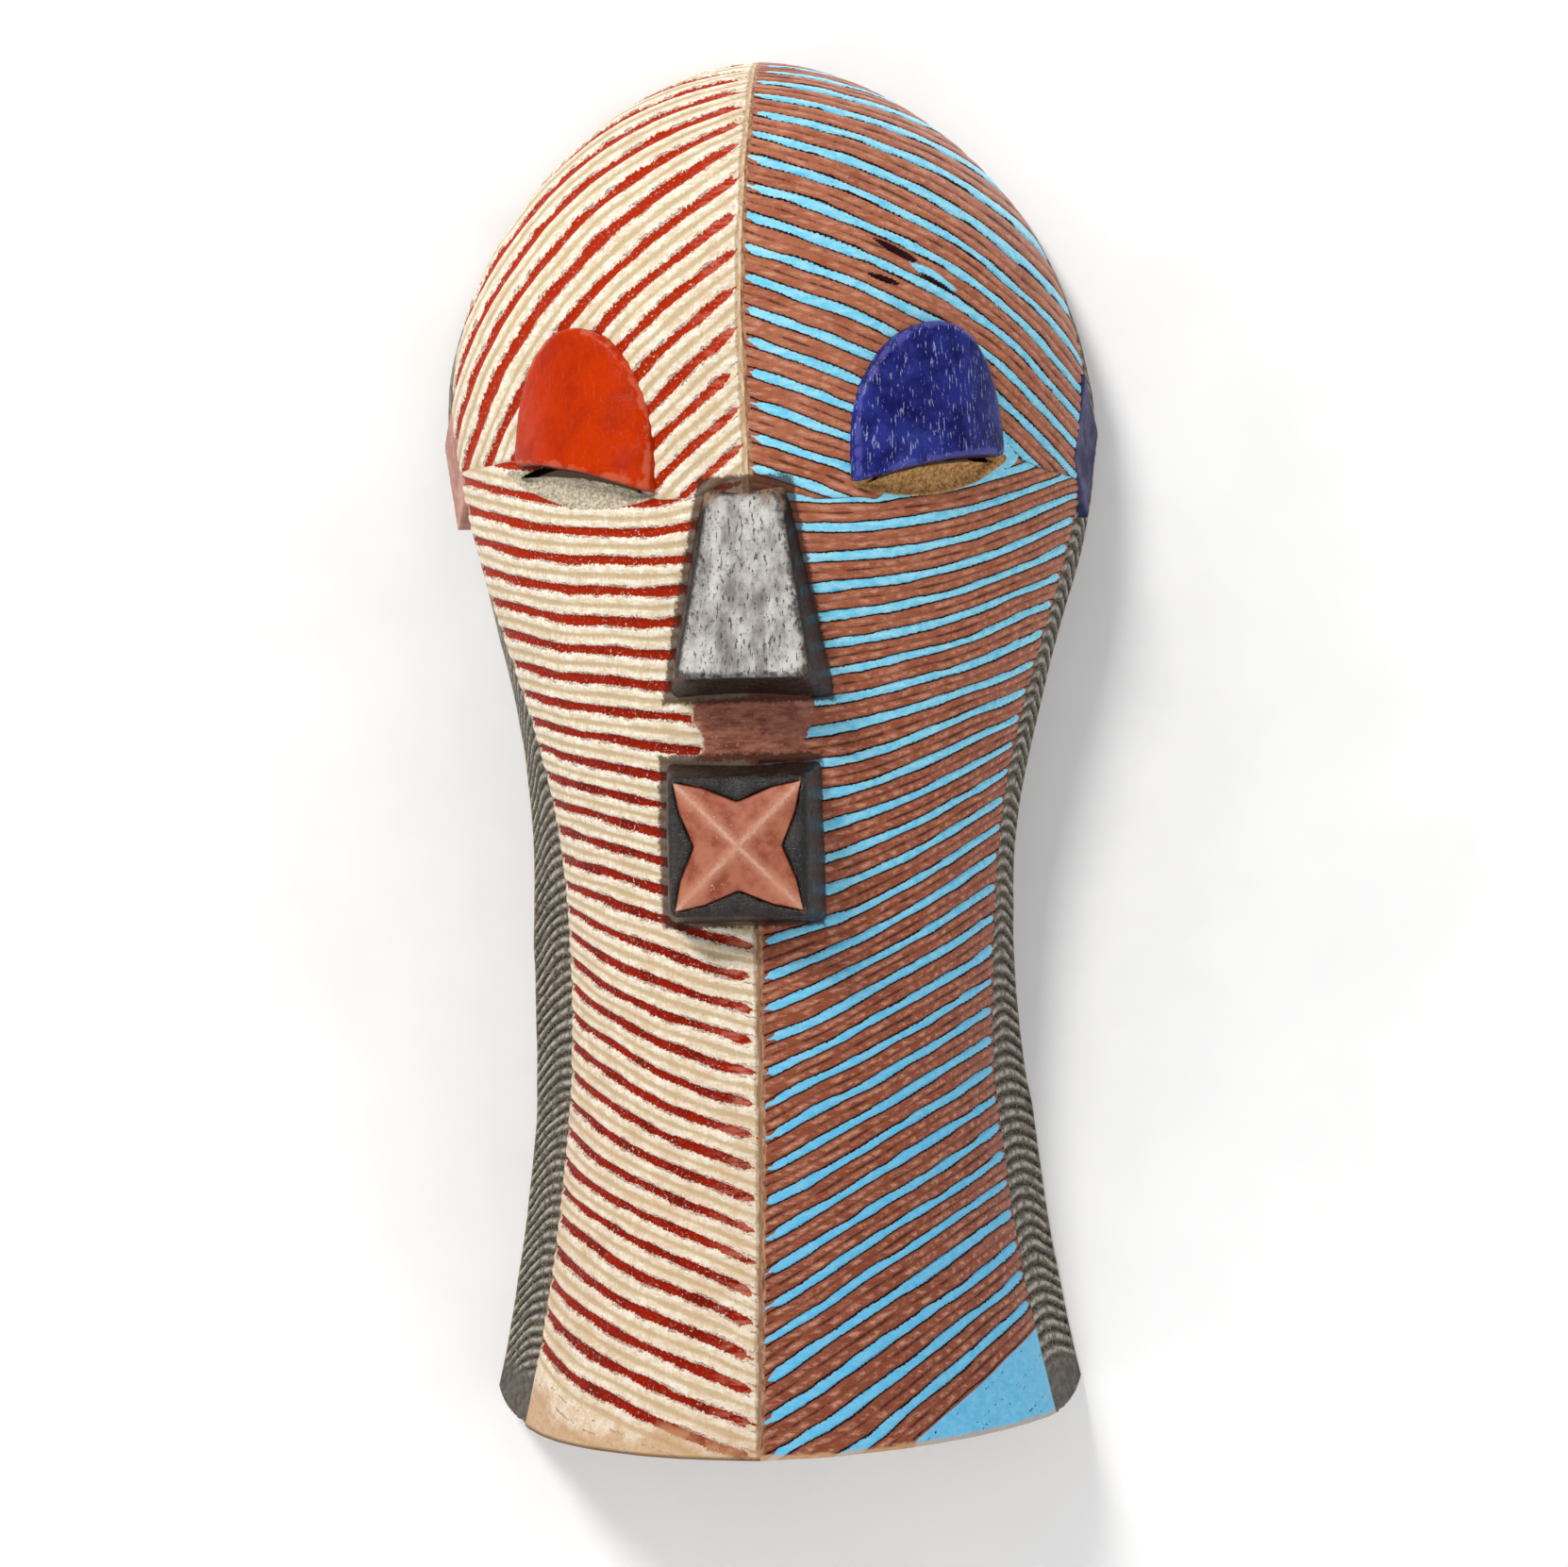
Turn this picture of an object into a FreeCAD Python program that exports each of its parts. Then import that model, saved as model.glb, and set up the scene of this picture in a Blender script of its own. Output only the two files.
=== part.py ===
import FreeCAD, Part
import math
import os

import Sketcher

# A wall-hung carved wooden mask with a striped face, a nose block, a square mouth block, swollen
# eyelids and flat ear plates, hollow at the back and open at the chin.
# Row frame, millimetres: +X to the viewer's right, the face looks along -Y, +Z is up. The origin is
# the hanging point: on the wall plane, at the middle notch of the sawtooth hanger.
# "Left" and "right" in names are the viewer's.

# Driving dimensions in millimetres and degrees. Heights run up from the chin, depths run forward
# from the wall plane, and "half" is a half width about the middle plane.
DIMENSIONS = {
    # the outline of the back rim
    "mask_height": 440.0,
    "hang_drop": 17.5,  # hanging point below the top of the head
    "waist_half": 79.0,
    "waist_height": 152.0,
    "chin_flare": 19.0,  # how much wider the chin is than the waist, each side
    "neck_height": 165.0,  # where the outline starts to swell towards the head
    "cheek_bias": 1.2,  # above 1 the swelling starts slowly
    "head_half": 106.0,
    "head_height": 325.0,  # where the head is widest
    "head_power": 1.8,  # 2 would be an ellipse
    "corner_radius": 12.0,  # rounded lower corners of the rim
    "corner_inset": 1.5,  # how far the round starts inside the widest point of the chin
    "corner_overrun": 4.0,  # how far the cut runs on past the round
    "rim_sway": 2.2,  # the rim wanders to the left at the waist and to the right at the cheeks
    "sway_height": 215.0,
    "sway_length": 120.0,
    # the sloping side band between the rim and the face
    "band_inset": 14.5,
    "temple_inset": 4.5,
    "crown_inset": 0.8,
    "band_depth": 28.0,
    "crown_depth": 3.0,
    "band_share": 0.3,  # most that the band may take of the depth at the centre line
    "inset_start": 100.0,
    "cheek_height": 262.0,
    "temple_height": 300.0,
    "crown_height": 368.0,
    # the centre line of the face
    "chin_depth": 103.0,
    "hollow_height": 140.0,  # where the centre line is furthest back
    "hollow_depth": 92.0,
    "brow_height": 335.0,
    "brow_depth": 104.0,
    "face_roundness": 0.72,
    "head_roundness": 0.60,
    "keel_sharpness": 0.10,
    "chin_lean": 0.125,  # drift of the centre line to the left, per unit of depth
    "crown_lean": 0.07,
    # wood left by the hollowing
    "rim_wall": 15.0,
    "keel_wall": 15.0,
    "crown_wall": 32.0,
    "block_turn": 5.5,  # the nose and the mouth face a little to the left
    # nose block, as a foot in the face and a smaller front
    "nose_height": 229.4,
    "nose_seat": 86.0,
    "nose_drift": 7.0,
    "nose_pitch": 6.5,
    "nose_length": 69.5,
    "nose_foot_half": 26.2,
    "nose_foot_top_half": 14.0,
    "nose_front_half": 21.2,
    "nose_front_top_half": 11.5,
    "nose_front_low": 10.0,
    "nose_front_high": 68.0,
    "nose_proud": 33.0,
    "nose_slope": 19.5,
    "nose_round": 2.6,
    # mouth block
    "mouth_height": 187.0,
    "mouth_seat": 80.5,
    "mouth_drift": 9.6,
    "mouth_half_width": 24.8,
    "mouth_half_height": 26.0,
    "mouth_front_half": 21.2,
    "mouth_front_drop": 1.4,
    "mouth_proud": 29.5,
    "mouth_round": 2.6,
    # four-pointed star let into the mouth block
    "star_tip": 19.6,
    "star_waist": 13.4,
    "star_shoulder": 20.3,  # reach of the swelling in the middle of each side of an arm
    "star_shoulder_turn": 30.0,  # how far round from the waist that swelling is
    "star_sink": 2.5,
    "star_rise": 4.5,
    # eyelids
    "eye_height": 321.0,
    "eye_depth": 84.5,
    "eye_turn": 34.0,
    "eye_drift": 4.9,  # how far both eyes sit to the viewer's left of even
    "eye_tip": 4.0,
    "lid_outer_half": 26.0,
    "left_lid_inner_half": 26.0,
    "right_lid_inner_half": 29.5,  # the right lid is the wider one
    "left_lid_offset": 54.0,
    "right_lid_offset": 56.4,  # a little further from the nose than the slit below it
    "lid_rise": 37.0,
    "lid_middle": -13.0,
    "lid_outer_foot": -16.5,
    "left_lid_inner_foot": -28.0,
    "right_lid_inner_foot": -26.0,
    "lid_foot_bow": 2.1,  # how far the foot of a lid bows up over its slit
    "lid_sink": 8.0,
    "lid_proud": 5.8,
    "lid_radius": 50.0,
    # sight slits under the lids
    "slit_offset": 54.0,
    "slit_half": 20.0,
    "left_slit_height": 297.4,
    "right_slit_height": 299.0,
    "slit_tilt": 11.0,
    "slit_top_rise": 6.6,
    "slit_low_rise": 2.0,
    # ear plates
    "ear_height": 312.0,
    "ear_offset": 100.6,
    "ear_depth": 18.0,
    "ear_turn": 68.0,
    "ear_up": 23.5,
    "ear_down": 24.0,
    "ear_across": 13.0,
    "ear_stagger": 5.0,
    "ear_sink": 6.0,
    "ear_proud": 1.8,
    # pegs behind the nose and the mouth
    "peg_radius": 3.0,
    "peg_in_block": 9.0,
    "nose_peg_in_wall": 3.0,
    "mouth_peg_in_wall": 2.5,
    "nose_peg_low": 14.0,
    "nose_peg_high": 44.0,
    "mouth_peg_gap": 14.0,
    # sawtooth hanger and its nails
    "hanger_half": 19.0,
    "hanger_rise": 7.5,
    "tooth_depth": 1.5,
    "tooth_half": 2.0,
    "hanger_thick": 1.2,
    "hanger_recess": 0.8,
    "nail_offset": 16.5,
    "nail_rise": 3.0,
    "nail_radius": 0.7,
    "nail_length": 12.0,
    "nail_head_radius": 1.7,
    "nail_head_thick": 0.5,
    "hook_half": 14.0,
    "hook_drop": 7.0,
    "hook_depth": 8.0,
}

FACE_STEPS = 6  # points from the centre line to the edge of the face, both included
BODY_STEPS = 13  # steps between sections from the chin to the widest level of the head
DOME_STEPS = 9  # steps between sections from there to the top
BELOW_CHIN = 2.0  # how far the hollow is drawn past the chin, which leaves it open there
SMALL = 0.5  # overrun of a cutting tool past the face that it cuts
BEHIND = 1.0  # how far the carved form is drawn past the wall's face before it is cut flat
ALONG = 140.0  # length of a tool that passes right through the face
SIDES = {"left": -1, "right": 1}

doc = FreeCAD.newDocument("carved_mask")
sheet = doc.addObject("Spreadsheet::Sheet", "dims")
for row, (name, value) in enumerate(DIMENSIONS.items(), start=1):
    sheet.set(f"A{row}", name)
    sheet.set(f"B{row}", str(value))
    sheet.setAlias(f"B{row}", name)
doc.recompute()


def size(name):
    return float(sheet.get(name))


def smooth(amount):
    """0 below 0, 1 above 1, and an even S between."""
    amount = min(max(amount, 0.0), 1.0)
    return amount * amount * (3.0 - 2.0 * amount)


# The carved surface. Each function takes a height above the chin. "wall" is 0 for the outside and
# 1 for the hollow, which is the same form drawn in by the wall thickness.


def head_fraction(height, wall):
    """How far up the dome of the head a height is: 0 at the widest level, 1 at its very top."""
    top = size("mask_height") - wall * size("crown_wall") + SMALL
    return max(height - size("head_height"), 0.0) / (top - size("head_height"))


def rim_half(height, wall=0):
    waist = size("waist_half")
    if height < size("waist_height"):
        below = (size("waist_height") - height) / size("waist_height")
        half = waist + size("chin_flare") * below**2
    else:
        above = (height - size("neck_height")) / (size("head_height") - size("neck_height"))
        half = waist + (size("head_half") - waist) * smooth(max(above, 0.0) ** size("cheek_bias"))
    power = size("head_power")
    return (half - wall * size("rim_wall")) * (1.0 - head_fraction(height, wall) ** power) ** (1.0 / power)


def keel_depth(height, wall=0):
    low = size("hollow_depth")
    if height < size("hollow_height"):
        below = (size("hollow_height") - height) / size("hollow_height")
        depth = low + (size("chin_depth") - low) * below**2
    else:
        above = (height - size("hollow_height")) / (size("brow_height") - size("hollow_height"))
        depth = low + (size("brow_depth") - low) * smooth(above)
    top = size("mask_height") - wall * size("crown_wall") + SMALL
    over = max(height - size("brow_height"), 0.0) / (top - size("brow_height"))
    return (depth - wall * size("keel_wall")) * math.sqrt(1.0 - over**2)


def band_inset(height):
    low = smooth((height - size("inset_start")) / (size("temple_height") - size("inset_start")))
    high = smooth((height - size("temple_height")) / (size("crown_height") - size("temple_height")))
    fall = (size("band_inset") - size("temple_inset")) * low
    return size("band_inset") - fall - (size("temple_inset") - size("crown_inset")) * high


def band_depth(height):
    fade = smooth((height - size("cheek_height")) / (size("crown_height") - size("cheek_height")))
    depth = size("band_depth") - (size("band_depth") - size("crown_depth")) * fade
    return min(depth, size("band_share") * keel_depth(height))


def roundness(height):
    rise = smooth((height - size("cheek_height")) / (size("brow_height") - size("cheek_height")))
    return size("face_roundness") + (size("head_roundness") - size("face_roundness")) * rise


def lean(height):
    rise = height / size("mask_height")
    return size("chin_lean") + (size("crown_lean") - size("chin_lean")) * rise


def sway(height):
    turns = (height - size("sway_height")) / size("sway_length")
    return size("rim_sway") * math.sin(math.pi * turns) if abs(turns) < 1.0 else 0.0


def face_curve(height, side, edge_half, edge_depth, depth, keel):
    """One side's curve from the centre line to the edge of the face, at one height."""
    points = []
    for step in range(FACE_STEPS):
        turn = 0.5 * math.pi * step / (FACE_STEPS - 1)
        across = math.sin(turn)
        bulge = max(math.cos(turn), 0.0) ** (2.0 * roundness(height)) - keel * across * (1.0 - across)
        forward = (depth - edge_depth) * bulge
        x = side * edge_half * across - lean(height) * forward
        points.append(FreeCAD.Vector(x, -edge_depth - forward, height))
    curve = Part.BSplineCurve()
    curve.interpolate(points)
    return points[-1], curve.toShape()


def section(height, edge_half, edge_depth, rim, shift, depth, keel, back):
    """A closed outline across the mask: the wall side, two side bands and the two face curves."""
    right_edge, right = face_curve(height, 1, edge_half, edge_depth, depth, keel)
    left_edge, left = face_curve(height, -1, edge_half, edge_depth, depth, keel)
    right_rim = FreeCAD.Vector(shift + rim, back, height)
    left_rim = FreeCAD.Vector(shift - rim, back, height)
    return Part.Wire([
        Part.makeLine(left_rim, right_rim),
        Part.makeLine(right_rim, right_edge),
        right,
        left,
        Part.makeLine(left_edge, left_rim),
    ])


def outer_section(height):
    rim = rim_half(height)
    edge = rim - band_inset(height) * rim / (rim + size("band_inset"))
    depth = keel_depth(height)
    keel = size("keel_sharpness")
    return section(height, edge, band_depth(height), rim, sway(height), depth, keel, BEHIND)


def inner_section(height):
    rim = rim_half(height, 1)
    return section(height, rim, SMALL, rim, 0.0, keel_depth(height, 1), 0.0, 2.0 * BEHIND)


def section_heights(start, top):
    """Even steps up to the widest level of the head, then even turns of the dome above it."""
    head = size("head_height")
    body = [start + (head - start) * step / BODY_STEPS for step in range(BODY_STEPS + 1)]
    reach = top - head + SMALL
    last = math.asin((top - head) / reach)
    dome = [head + reach * math.sin(last * step / DOME_STEPS) for step in range(1, DOME_STEPS + 1)]
    return body + dome


def carved_form(name, section_at, start, top):
    form = doc.addObject("Part::Feature", name)
    form.Shape = Part.makeLoft([section_at(height) for height in section_heights(start, top)], True)
    form.setExpression("Placement.Base.z", "dims.hang_drop - dims.mask_height")
    return form


# Helpers for the fitted pieces. Their own frames have z out of the wood and y up the mask.


def place(piece, x, y, height, yaw, roll, pitch="0"):
    z = f"({height}) + dims.hang_drop - dims.mask_height"
    position = f"create(<<vector>>; {x}; {y}; {z})"
    turn = f"create(<<rotation>>; {yaw}; {pitch}; {roll})"
    piece.setExpression("Placement", f"create(<<placement>>; {position}; {turn})")


def add_body(name):
    body = doc.addObject("PartDesign::Body", name)
    body.Label = name
    return body


def add_sketch(body, name, offset=FreeCAD.Placement()):
    sketch = body.newObject("Sketcher::SketchObject", name)
    plane = next(f for f in body.Origin.OriginFeatures if f.Role == "XY_Plane")
    sketch.AttachmentSupport = [(plane, "")]
    sketch.MapMode = "FlatFace"
    sketch.AttachmentOffset = offset
    return sketch


def bind(sketch, kind, geometry, point, expression):
    """Fixes one coordinate of a sketch point to an expression on the sheet."""
    value = float(sketch.evalExpression(expression))
    index = sketch.addConstraint(Sketcher.Constraint(kind, geometry, point, value))
    sketch.setExpression(f"Constraints[{index}]", expression)


def draw_outline(sketch, corners):
    """Closed straight-sided outline through corners given as pairs of expressions."""
    values = [
        FreeCAD.Vector(*(float(sketch.evalExpression(part)) for part in corner), 0) for corner in corners
    ]
    for here, there in zip(values, values[1:] + values[:1]):
        sketch.addGeometry(Part.LineSegment(here, there))
    for index, (x, y) in enumerate(corners):
        sketch.addConstraint(
            Sketcher.Constraint("Coincident", index, 2, (index + 1) % len(corners), 1)
        )
        bind(sketch, "DistanceX", index, 1, x)
        bind(sketch, "DistanceY", index, 1, y)


def add_pad(body, sketch, name, length):
    pad = body.newObject("PartDesign::Pad", name)
    pad.Profile = sketch
    pad.setExpression("Length", length)
    return pad


def add_section(name, height="0"):
    """A sketch that stands free at a height above its block's seat, for a loft."""
    sketch = doc.addObject("Sketcher::SketchObject", name)
    sketch.setExpression("Placement.Base.z", height)
    return sketch


def add_taper(name, foot, front, radius):
    """A solid between two outlines, with all its edges but those of the foot rounded."""
    taper = doc.addObject("Part::Loft", name + "_taper")
    taper.Sections = [foot, front]
    taper.Solid = True
    taper.Ruled = True
    doc.recompute()
    rounding = doc.addObject("Part::Fillet", name + "_rounding")
    rounding.Base = taper
    rounding.Edges = [
        (index, radius, radius)
        for index, edge in enumerate(taper.Shape.Edges, start=1)
        if max(vertex.Z for vertex in edge.Vertexes) > SMALL
    ]
    return rounding


def peg(name, height, length, start="0"):
    """Round rod for a peg or its hole, along its block's own z."""
    rod = doc.addObject("Part::Cylinder", name)
    rod.setExpression("Radius", "dims.peg_radius")
    rod.setExpression("Height", length)
    rod.setExpression("Placement.Base.y", height)
    rod.setExpression("Placement.Base.z", start)
    return rod


def cut_from(name, base, tools):
    """The base less all the tools, under a name of its own."""
    joined = doc.addObject("Part::MultiFuse", name + "_tools")
    joined.Shapes = tools
    piece = doc.addObject("Part::Cut", name)
    piece.Base = base
    piece.Tool = joined
    return piece


def place_nose(piece):
    place(
        piece,
        "-dims.nose_drift",
        "-dims.nose_seat",
        "dims.nose_height",
        "-dims.block_turn",
        "90 + dims.nose_pitch",
    )


def place_mouth(piece):
    place(piece, "-dims.mouth_drift", "-dims.mouth_seat", "dims.mouth_height", "-dims.block_turn", "90")


def nose_block():
    """Long block, narrow at the brow, whose front slopes out towards its foot."""
    foot = add_section("nose_foot")
    draw_outline(foot, [
        ("-dims.nose_foot_half", "0"),
        ("dims.nose_foot_half", "0"),
        ("dims.nose_foot_top_half", "dims.nose_length"),
        ("-dims.nose_foot_top_half", "dims.nose_length"),
    ])
    front = add_section("nose_front")
    front.Placement.Rotation = FreeCAD.Rotation(FreeCAD.Vector(-1, 0, 0), size("nose_slope"))
    front.setExpression("Placement.Base.z", "dims.nose_proud")
    front.setExpression("Placement.Rotation.Angle", "dims.nose_slope")
    draw_outline(front, [
        ("-dims.nose_front_half", "dims.nose_front_low"),
        ("dims.nose_front_half", "dims.nose_front_low"),
        ("dims.nose_front_top_half", "dims.nose_front_high"),
        ("-dims.nose_front_top_half", "dims.nose_front_high"),
    ])
    block = cut_from("nose_block", add_taper("nose", foot, front, size("nose_round")), [
        peg("nose_low_hole", "dims.nose_peg_low", "dims.peg_in_block"),
        peg("nose_high_hole", "dims.nose_peg_high", "dims.peg_in_block"),
    ])
    place_nose(block)
    return block


def mouth_block():
    """Square block with softened edges and a star-shaped recess in its front."""
    foot = add_section("mouth_foot")
    draw_outline(foot, [
        ("-dims.mouth_half_width", "-dims.mouth_half_height"),
        ("dims.mouth_half_width", "-dims.mouth_half_height"),
        ("dims.mouth_half_width", "dims.mouth_half_height"),
        ("-dims.mouth_half_width", "dims.mouth_half_height"),
    ])
    front = add_section("mouth_front", "dims.mouth_proud")
    draw_outline(front, [
        ("-dims.mouth_front_half", "-dims.mouth_front_half - dims.mouth_front_drop"),
        ("dims.mouth_front_half", "-dims.mouth_front_half - dims.mouth_front_drop"),
        ("dims.mouth_front_half", "dims.mouth_front_half - dims.mouth_front_drop"),
        ("-dims.mouth_front_half", "dims.mouth_front_half - dims.mouth_front_drop"),
    ])
    outline = add_section("star_outline", "dims.mouth_proud - dims.star_sink")
    draw_outline(outline, star_corners())
    recess = doc.addObject("Part::Extrusion", "star_recess")
    recess.Base = outline
    recess.Dir = FreeCAD.Vector(0, 0, 1)
    recess.Solid = True
    recess.setExpression("LengthFwd", "dims.star_sink + 1")
    block = cut_from("mouth_block", add_taper("mouth", foot, front, size("mouth_round")), [
        peg("mouth_low_hole", "-dims.mouth_peg_gap / 2", "dims.peg_in_block"),
        peg("mouth_high_hole", "dims.mouth_peg_gap / 2", "dims.peg_in_block"),
        recess,
    ])
    place_mouth(block)
    return block


def star_corners():
    """Corners of the star, as expressions: tips on the diagonals, waists between them, shoulders."""
    corners = []
    for quarter in range(4):
        start = 90 * quarter
        for reach, turn in (
            ("dims.star_waist", f"{start}"),
            ("dims.star_shoulder", f"{start} + dims.star_shoulder_turn"),
            ("dims.star_tip * sqrt(2)", f"{start} + 45"),
            ("dims.star_shoulder", f"{start} + 90 - dims.star_shoulder_turn"),
        ):
            corners.append((
                f"{reach} * cos(({turn}) * 1 deg)",
                f"{reach} * sin(({turn}) * 1 deg) - dims.mouth_front_drop",
            ))
    return corners


def mouth_star():
    """Four raised arms that meet in a low peak, each with a ridge along its middle."""
    corners = [
        FreeCAD.Vector(*(float(sheet.evalExpression(part)) for part in corner), size("mouth_proud"))
        for corner in star_corners()
    ]
    outline = Part.makePolygon(corners + corners[:1])
    root = Part.Face(outline).extrude(FreeCAD.Vector(0, 0, -size("star_sink")))
    peak = Part.Vertex(0, -size("mouth_front_drop"), size("mouth_proud") + size("star_rise"))
    arms = Part.makeLoft([outline, peak], True, True)
    star = doc.addObject("Part::Feature", "mouth_star")
    star.Shape = root.fuse(arms).removeSplitter()
    place_mouth(star)
    return star


def quarter_arch(shoulder, rise):
    """Quarter of an oval from a shoulder up to the middle line of the lid."""
    top = FreeCAD.Vector(0, shoulder.y + rise, 0)
    oval = Part.Ellipse(top, shoulder, FreeCAD.Vector(0, shoulder.y, 0))
    # the oval's own angle starts at its top and turns towards the shoulder
    return Part.ArcOfEllipse(oval, 0.0, 0.5 * math.pi)


def eyelid(label, side):
    """Swollen lid: a half oval standing on a bowed and slanting foot, rounded across."""
    name = label + "_eyelid"
    block = add_body(name + "_block")
    outline = add_sketch(block, name + "_outline")
    middle = size("lid_middle")
    outer = (side * size("lid_outer_half"), size("lid_outer_foot"))
    inner = (-side * size(f"{label}_lid_inner_half"), size(f"{label}_lid_inner_foot"))
    left_foot, right_foot = (FreeCAD.Vector(*foot, 0) for foot in sorted((outer, inner)))
    for foot in (left_foot, right_foot):
        shoulder = FreeCAD.Vector(foot.x, middle, 0)
        outline.addGeometry(quarter_arch(shoulder, size("lid_rise")))
        outline.addGeometry(Part.LineSegment(shoulder, foot))
    bow = (left_foot + right_foot) / 2 + FreeCAD.Vector(0, size("lid_foot_bow"), 0)
    outline.addGeometry(Part.Arc(left_foot, bow, right_foot))
    add_pad(block, outline, name + "_pad", "dims.lid_sink + dims.lid_proud + 1")
    outline.setExpression("AttachmentOffset.Base.z", "-dims.lid_sink")
    rod = doc.addObject("Part::Cylinder", name + "_rod")
    rod.Placement.Rotation = FreeCAD.Rotation(FreeCAD.Vector(1, 0, 0), 90)
    rod.setExpression("Radius", "dims.lid_radius")
    rod.setExpression("Height", "4 * dims.lid_rise")
    rod.setExpression("Placement.Base.y", "2 * dims.lid_rise")
    rod.setExpression("Placement.Base.z", "dims.lid_proud - dims.lid_radius")
    lid = doc.addObject("Part::Common", name)
    lid.Base = block
    lid.Tool = rod
    place(
        lid,
        f"{side} * dims.{label}_lid_offset - dims.eye_drift",
        "-dims.eye_depth",
        "dims.eye_height",
        f"{side} * dims.eye_turn",
        "90 - dims.eye_tip",
    )
    return lid


def ear_plate(name, side):
    """Flat lozenge let into the temple, its front corner lower than its back one."""
    body = add_body(name)
    outline = add_sketch(body, name + "_outline")
    outline.setExpression("AttachmentOffset.Base.z", "-dims.ear_sink")
    draw_outline(outline, [
        ("0", "dims.ear_up"),
        ("-dims.ear_across", f"{side} * -dims.ear_stagger"),
        ("0", "-dims.ear_down"),
        ("dims.ear_across", f"{side} * dims.ear_stagger"),
    ])
    add_pad(body, outline, name + "_pad", "dims.ear_sink + dims.ear_proud")
    place(
        body,
        f"{side} * dims.ear_offset",
        "-dims.ear_depth",
        "dims.ear_height",
        f"{side} * dims.ear_turn",
        "90",
    )
    return body


def peg_pair(name, low, high, in_wall):
    """Two round wooden pegs, from inside the wall of the shell to inside a block."""
    length = f"dims.peg_in_block + {in_wall}"
    pair = doc.addObject("Part::Compound", name)
    pair.Links = [
        peg(name + "_low", low, length, f"-{in_wall}"),
        peg(name + "_high", high, length, f"-{in_wall}"),
    ]
    return pair


def hanger_plate():
    """Thin steel strip with a row of teeth along its lower edge and a nail hole at each end."""
    body = add_body("hanger_plate")
    outline = add_sketch(body, "hanger_outline")
    outline.setExpression("AttachmentOffset.Base.z", "dims.hanger_recess")
    teeth = [
        (f"{step} * dims.tooth_half", "0" if step % 2 == 0 else "-dims.tooth_depth")
        for step in range(-7, 8)
    ]
    draw_outline(outline, [
        ("-dims.hanger_half", "-dims.tooth_depth"),
        *teeth,
        ("dims.hanger_half", "-dims.tooth_depth"),
        ("dims.hanger_half", "dims.hanger_rise"),
        ("-dims.hanger_half", "dims.hanger_rise"),
    ])
    add_pad(body, outline, "hanger_strip", "dims.hanger_thick")
    doc.recompute()
    rings = add_sketch(body, "hanger_rings")
    for index, side in enumerate(SIDES.values()):
        centre = FreeCAD.Vector(side * size("nail_offset"), size("nail_rise"), 0)
        rings.addGeometry(Part.Circle(centre, FreeCAD.Vector(0, 0, 1), size("nail_radius")))
        bind(rings, "DistanceX", index, 3, f"{side} * dims.nail_offset")
        bind(rings, "DistanceY", index, 3, "dims.nail_rise")
        ring = rings.addConstraint(Sketcher.Constraint("Radius", index, size("nail_radius")))
        rings.setExpression(f"Constraints[{ring}]", "dims.nail_radius")
    holes = body.newObject("PartDesign::Pocket", "hanger_nail_holes")
    holes.Profile = rings
    holes.Reversed = True
    holes.setExpression("Length", "dims.hanger_recess + dims.hanger_thick + 1")
    body.Tip = holes
    place(body, "0", "0", "dims.mask_height - dims.hang_drop", "0", "90")
    return body


def hanger_nails():
    """Two round-headed nails through the ends of the hanger."""
    parts = []
    for label, side in SIDES.items():
        shank = doc.addObject("Part::Cylinder", label + "_shank")
        shank.setExpression("Radius", "dims.nail_radius")
        shank.setExpression("Height", "dims.nail_length")
        head = doc.addObject("Part::Cylinder", label + "_head")
        head.setExpression("Radius", "dims.nail_head_radius")
        head.setExpression("Height", "dims.nail_head_thick")
        for piece in (shank, head):
            piece.setExpression("Placement.Base.x", f"{side} * dims.nail_offset")
            piece.setExpression("Placement.Base.y", "dims.nail_rise")
            piece.setExpression("Placement.Base.z", "dims.hanger_recess - dims.nail_head_thick")
        nail = doc.addObject("Part::Fuse", label + "_nail")
        nail.Base = shank
        nail.Tool = head
        parts.append(nail)
    nails = doc.addObject("Part::Compound", "hanger_nails")
    nails.Links = parts
    place(nails, "0", "0", "dims.mask_height - dims.hang_drop", "0", "90")
    return nails


# Cutting tools for the shell.


def slit(label, side):
    """Crescent between two arcs on one chord, both bowed upwards, right through the face."""
    name = label + "_slit"
    arcs = []
    for arc in ("top", "low"):
        rise = f"dims.slit_{arc}_rise"
        rod = doc.addObject("Part::Cylinder", f"{name}_{arc}")
        rod.setExpression("Radius", f"(dims.slit_half * dims.slit_half + {rise} * {rise}) / (2 * {rise})")
        rod.Height = ALONG
        rod.setExpression("Placement.Base.y", f"{rise} - {rod.Name}.Radius / 1 mm")
        arcs.append(rod)
    crescent = doc.addObject("Part::Cut", name)
    crescent.Base, crescent.Tool = arcs
    x = f"{side} * dims.slit_offset - dims.eye_drift"
    place(crescent, x, "-5", f"dims.{label}_slit_height", "0", "90", f"{-side} * dims.slit_tilt")
    return crescent


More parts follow.
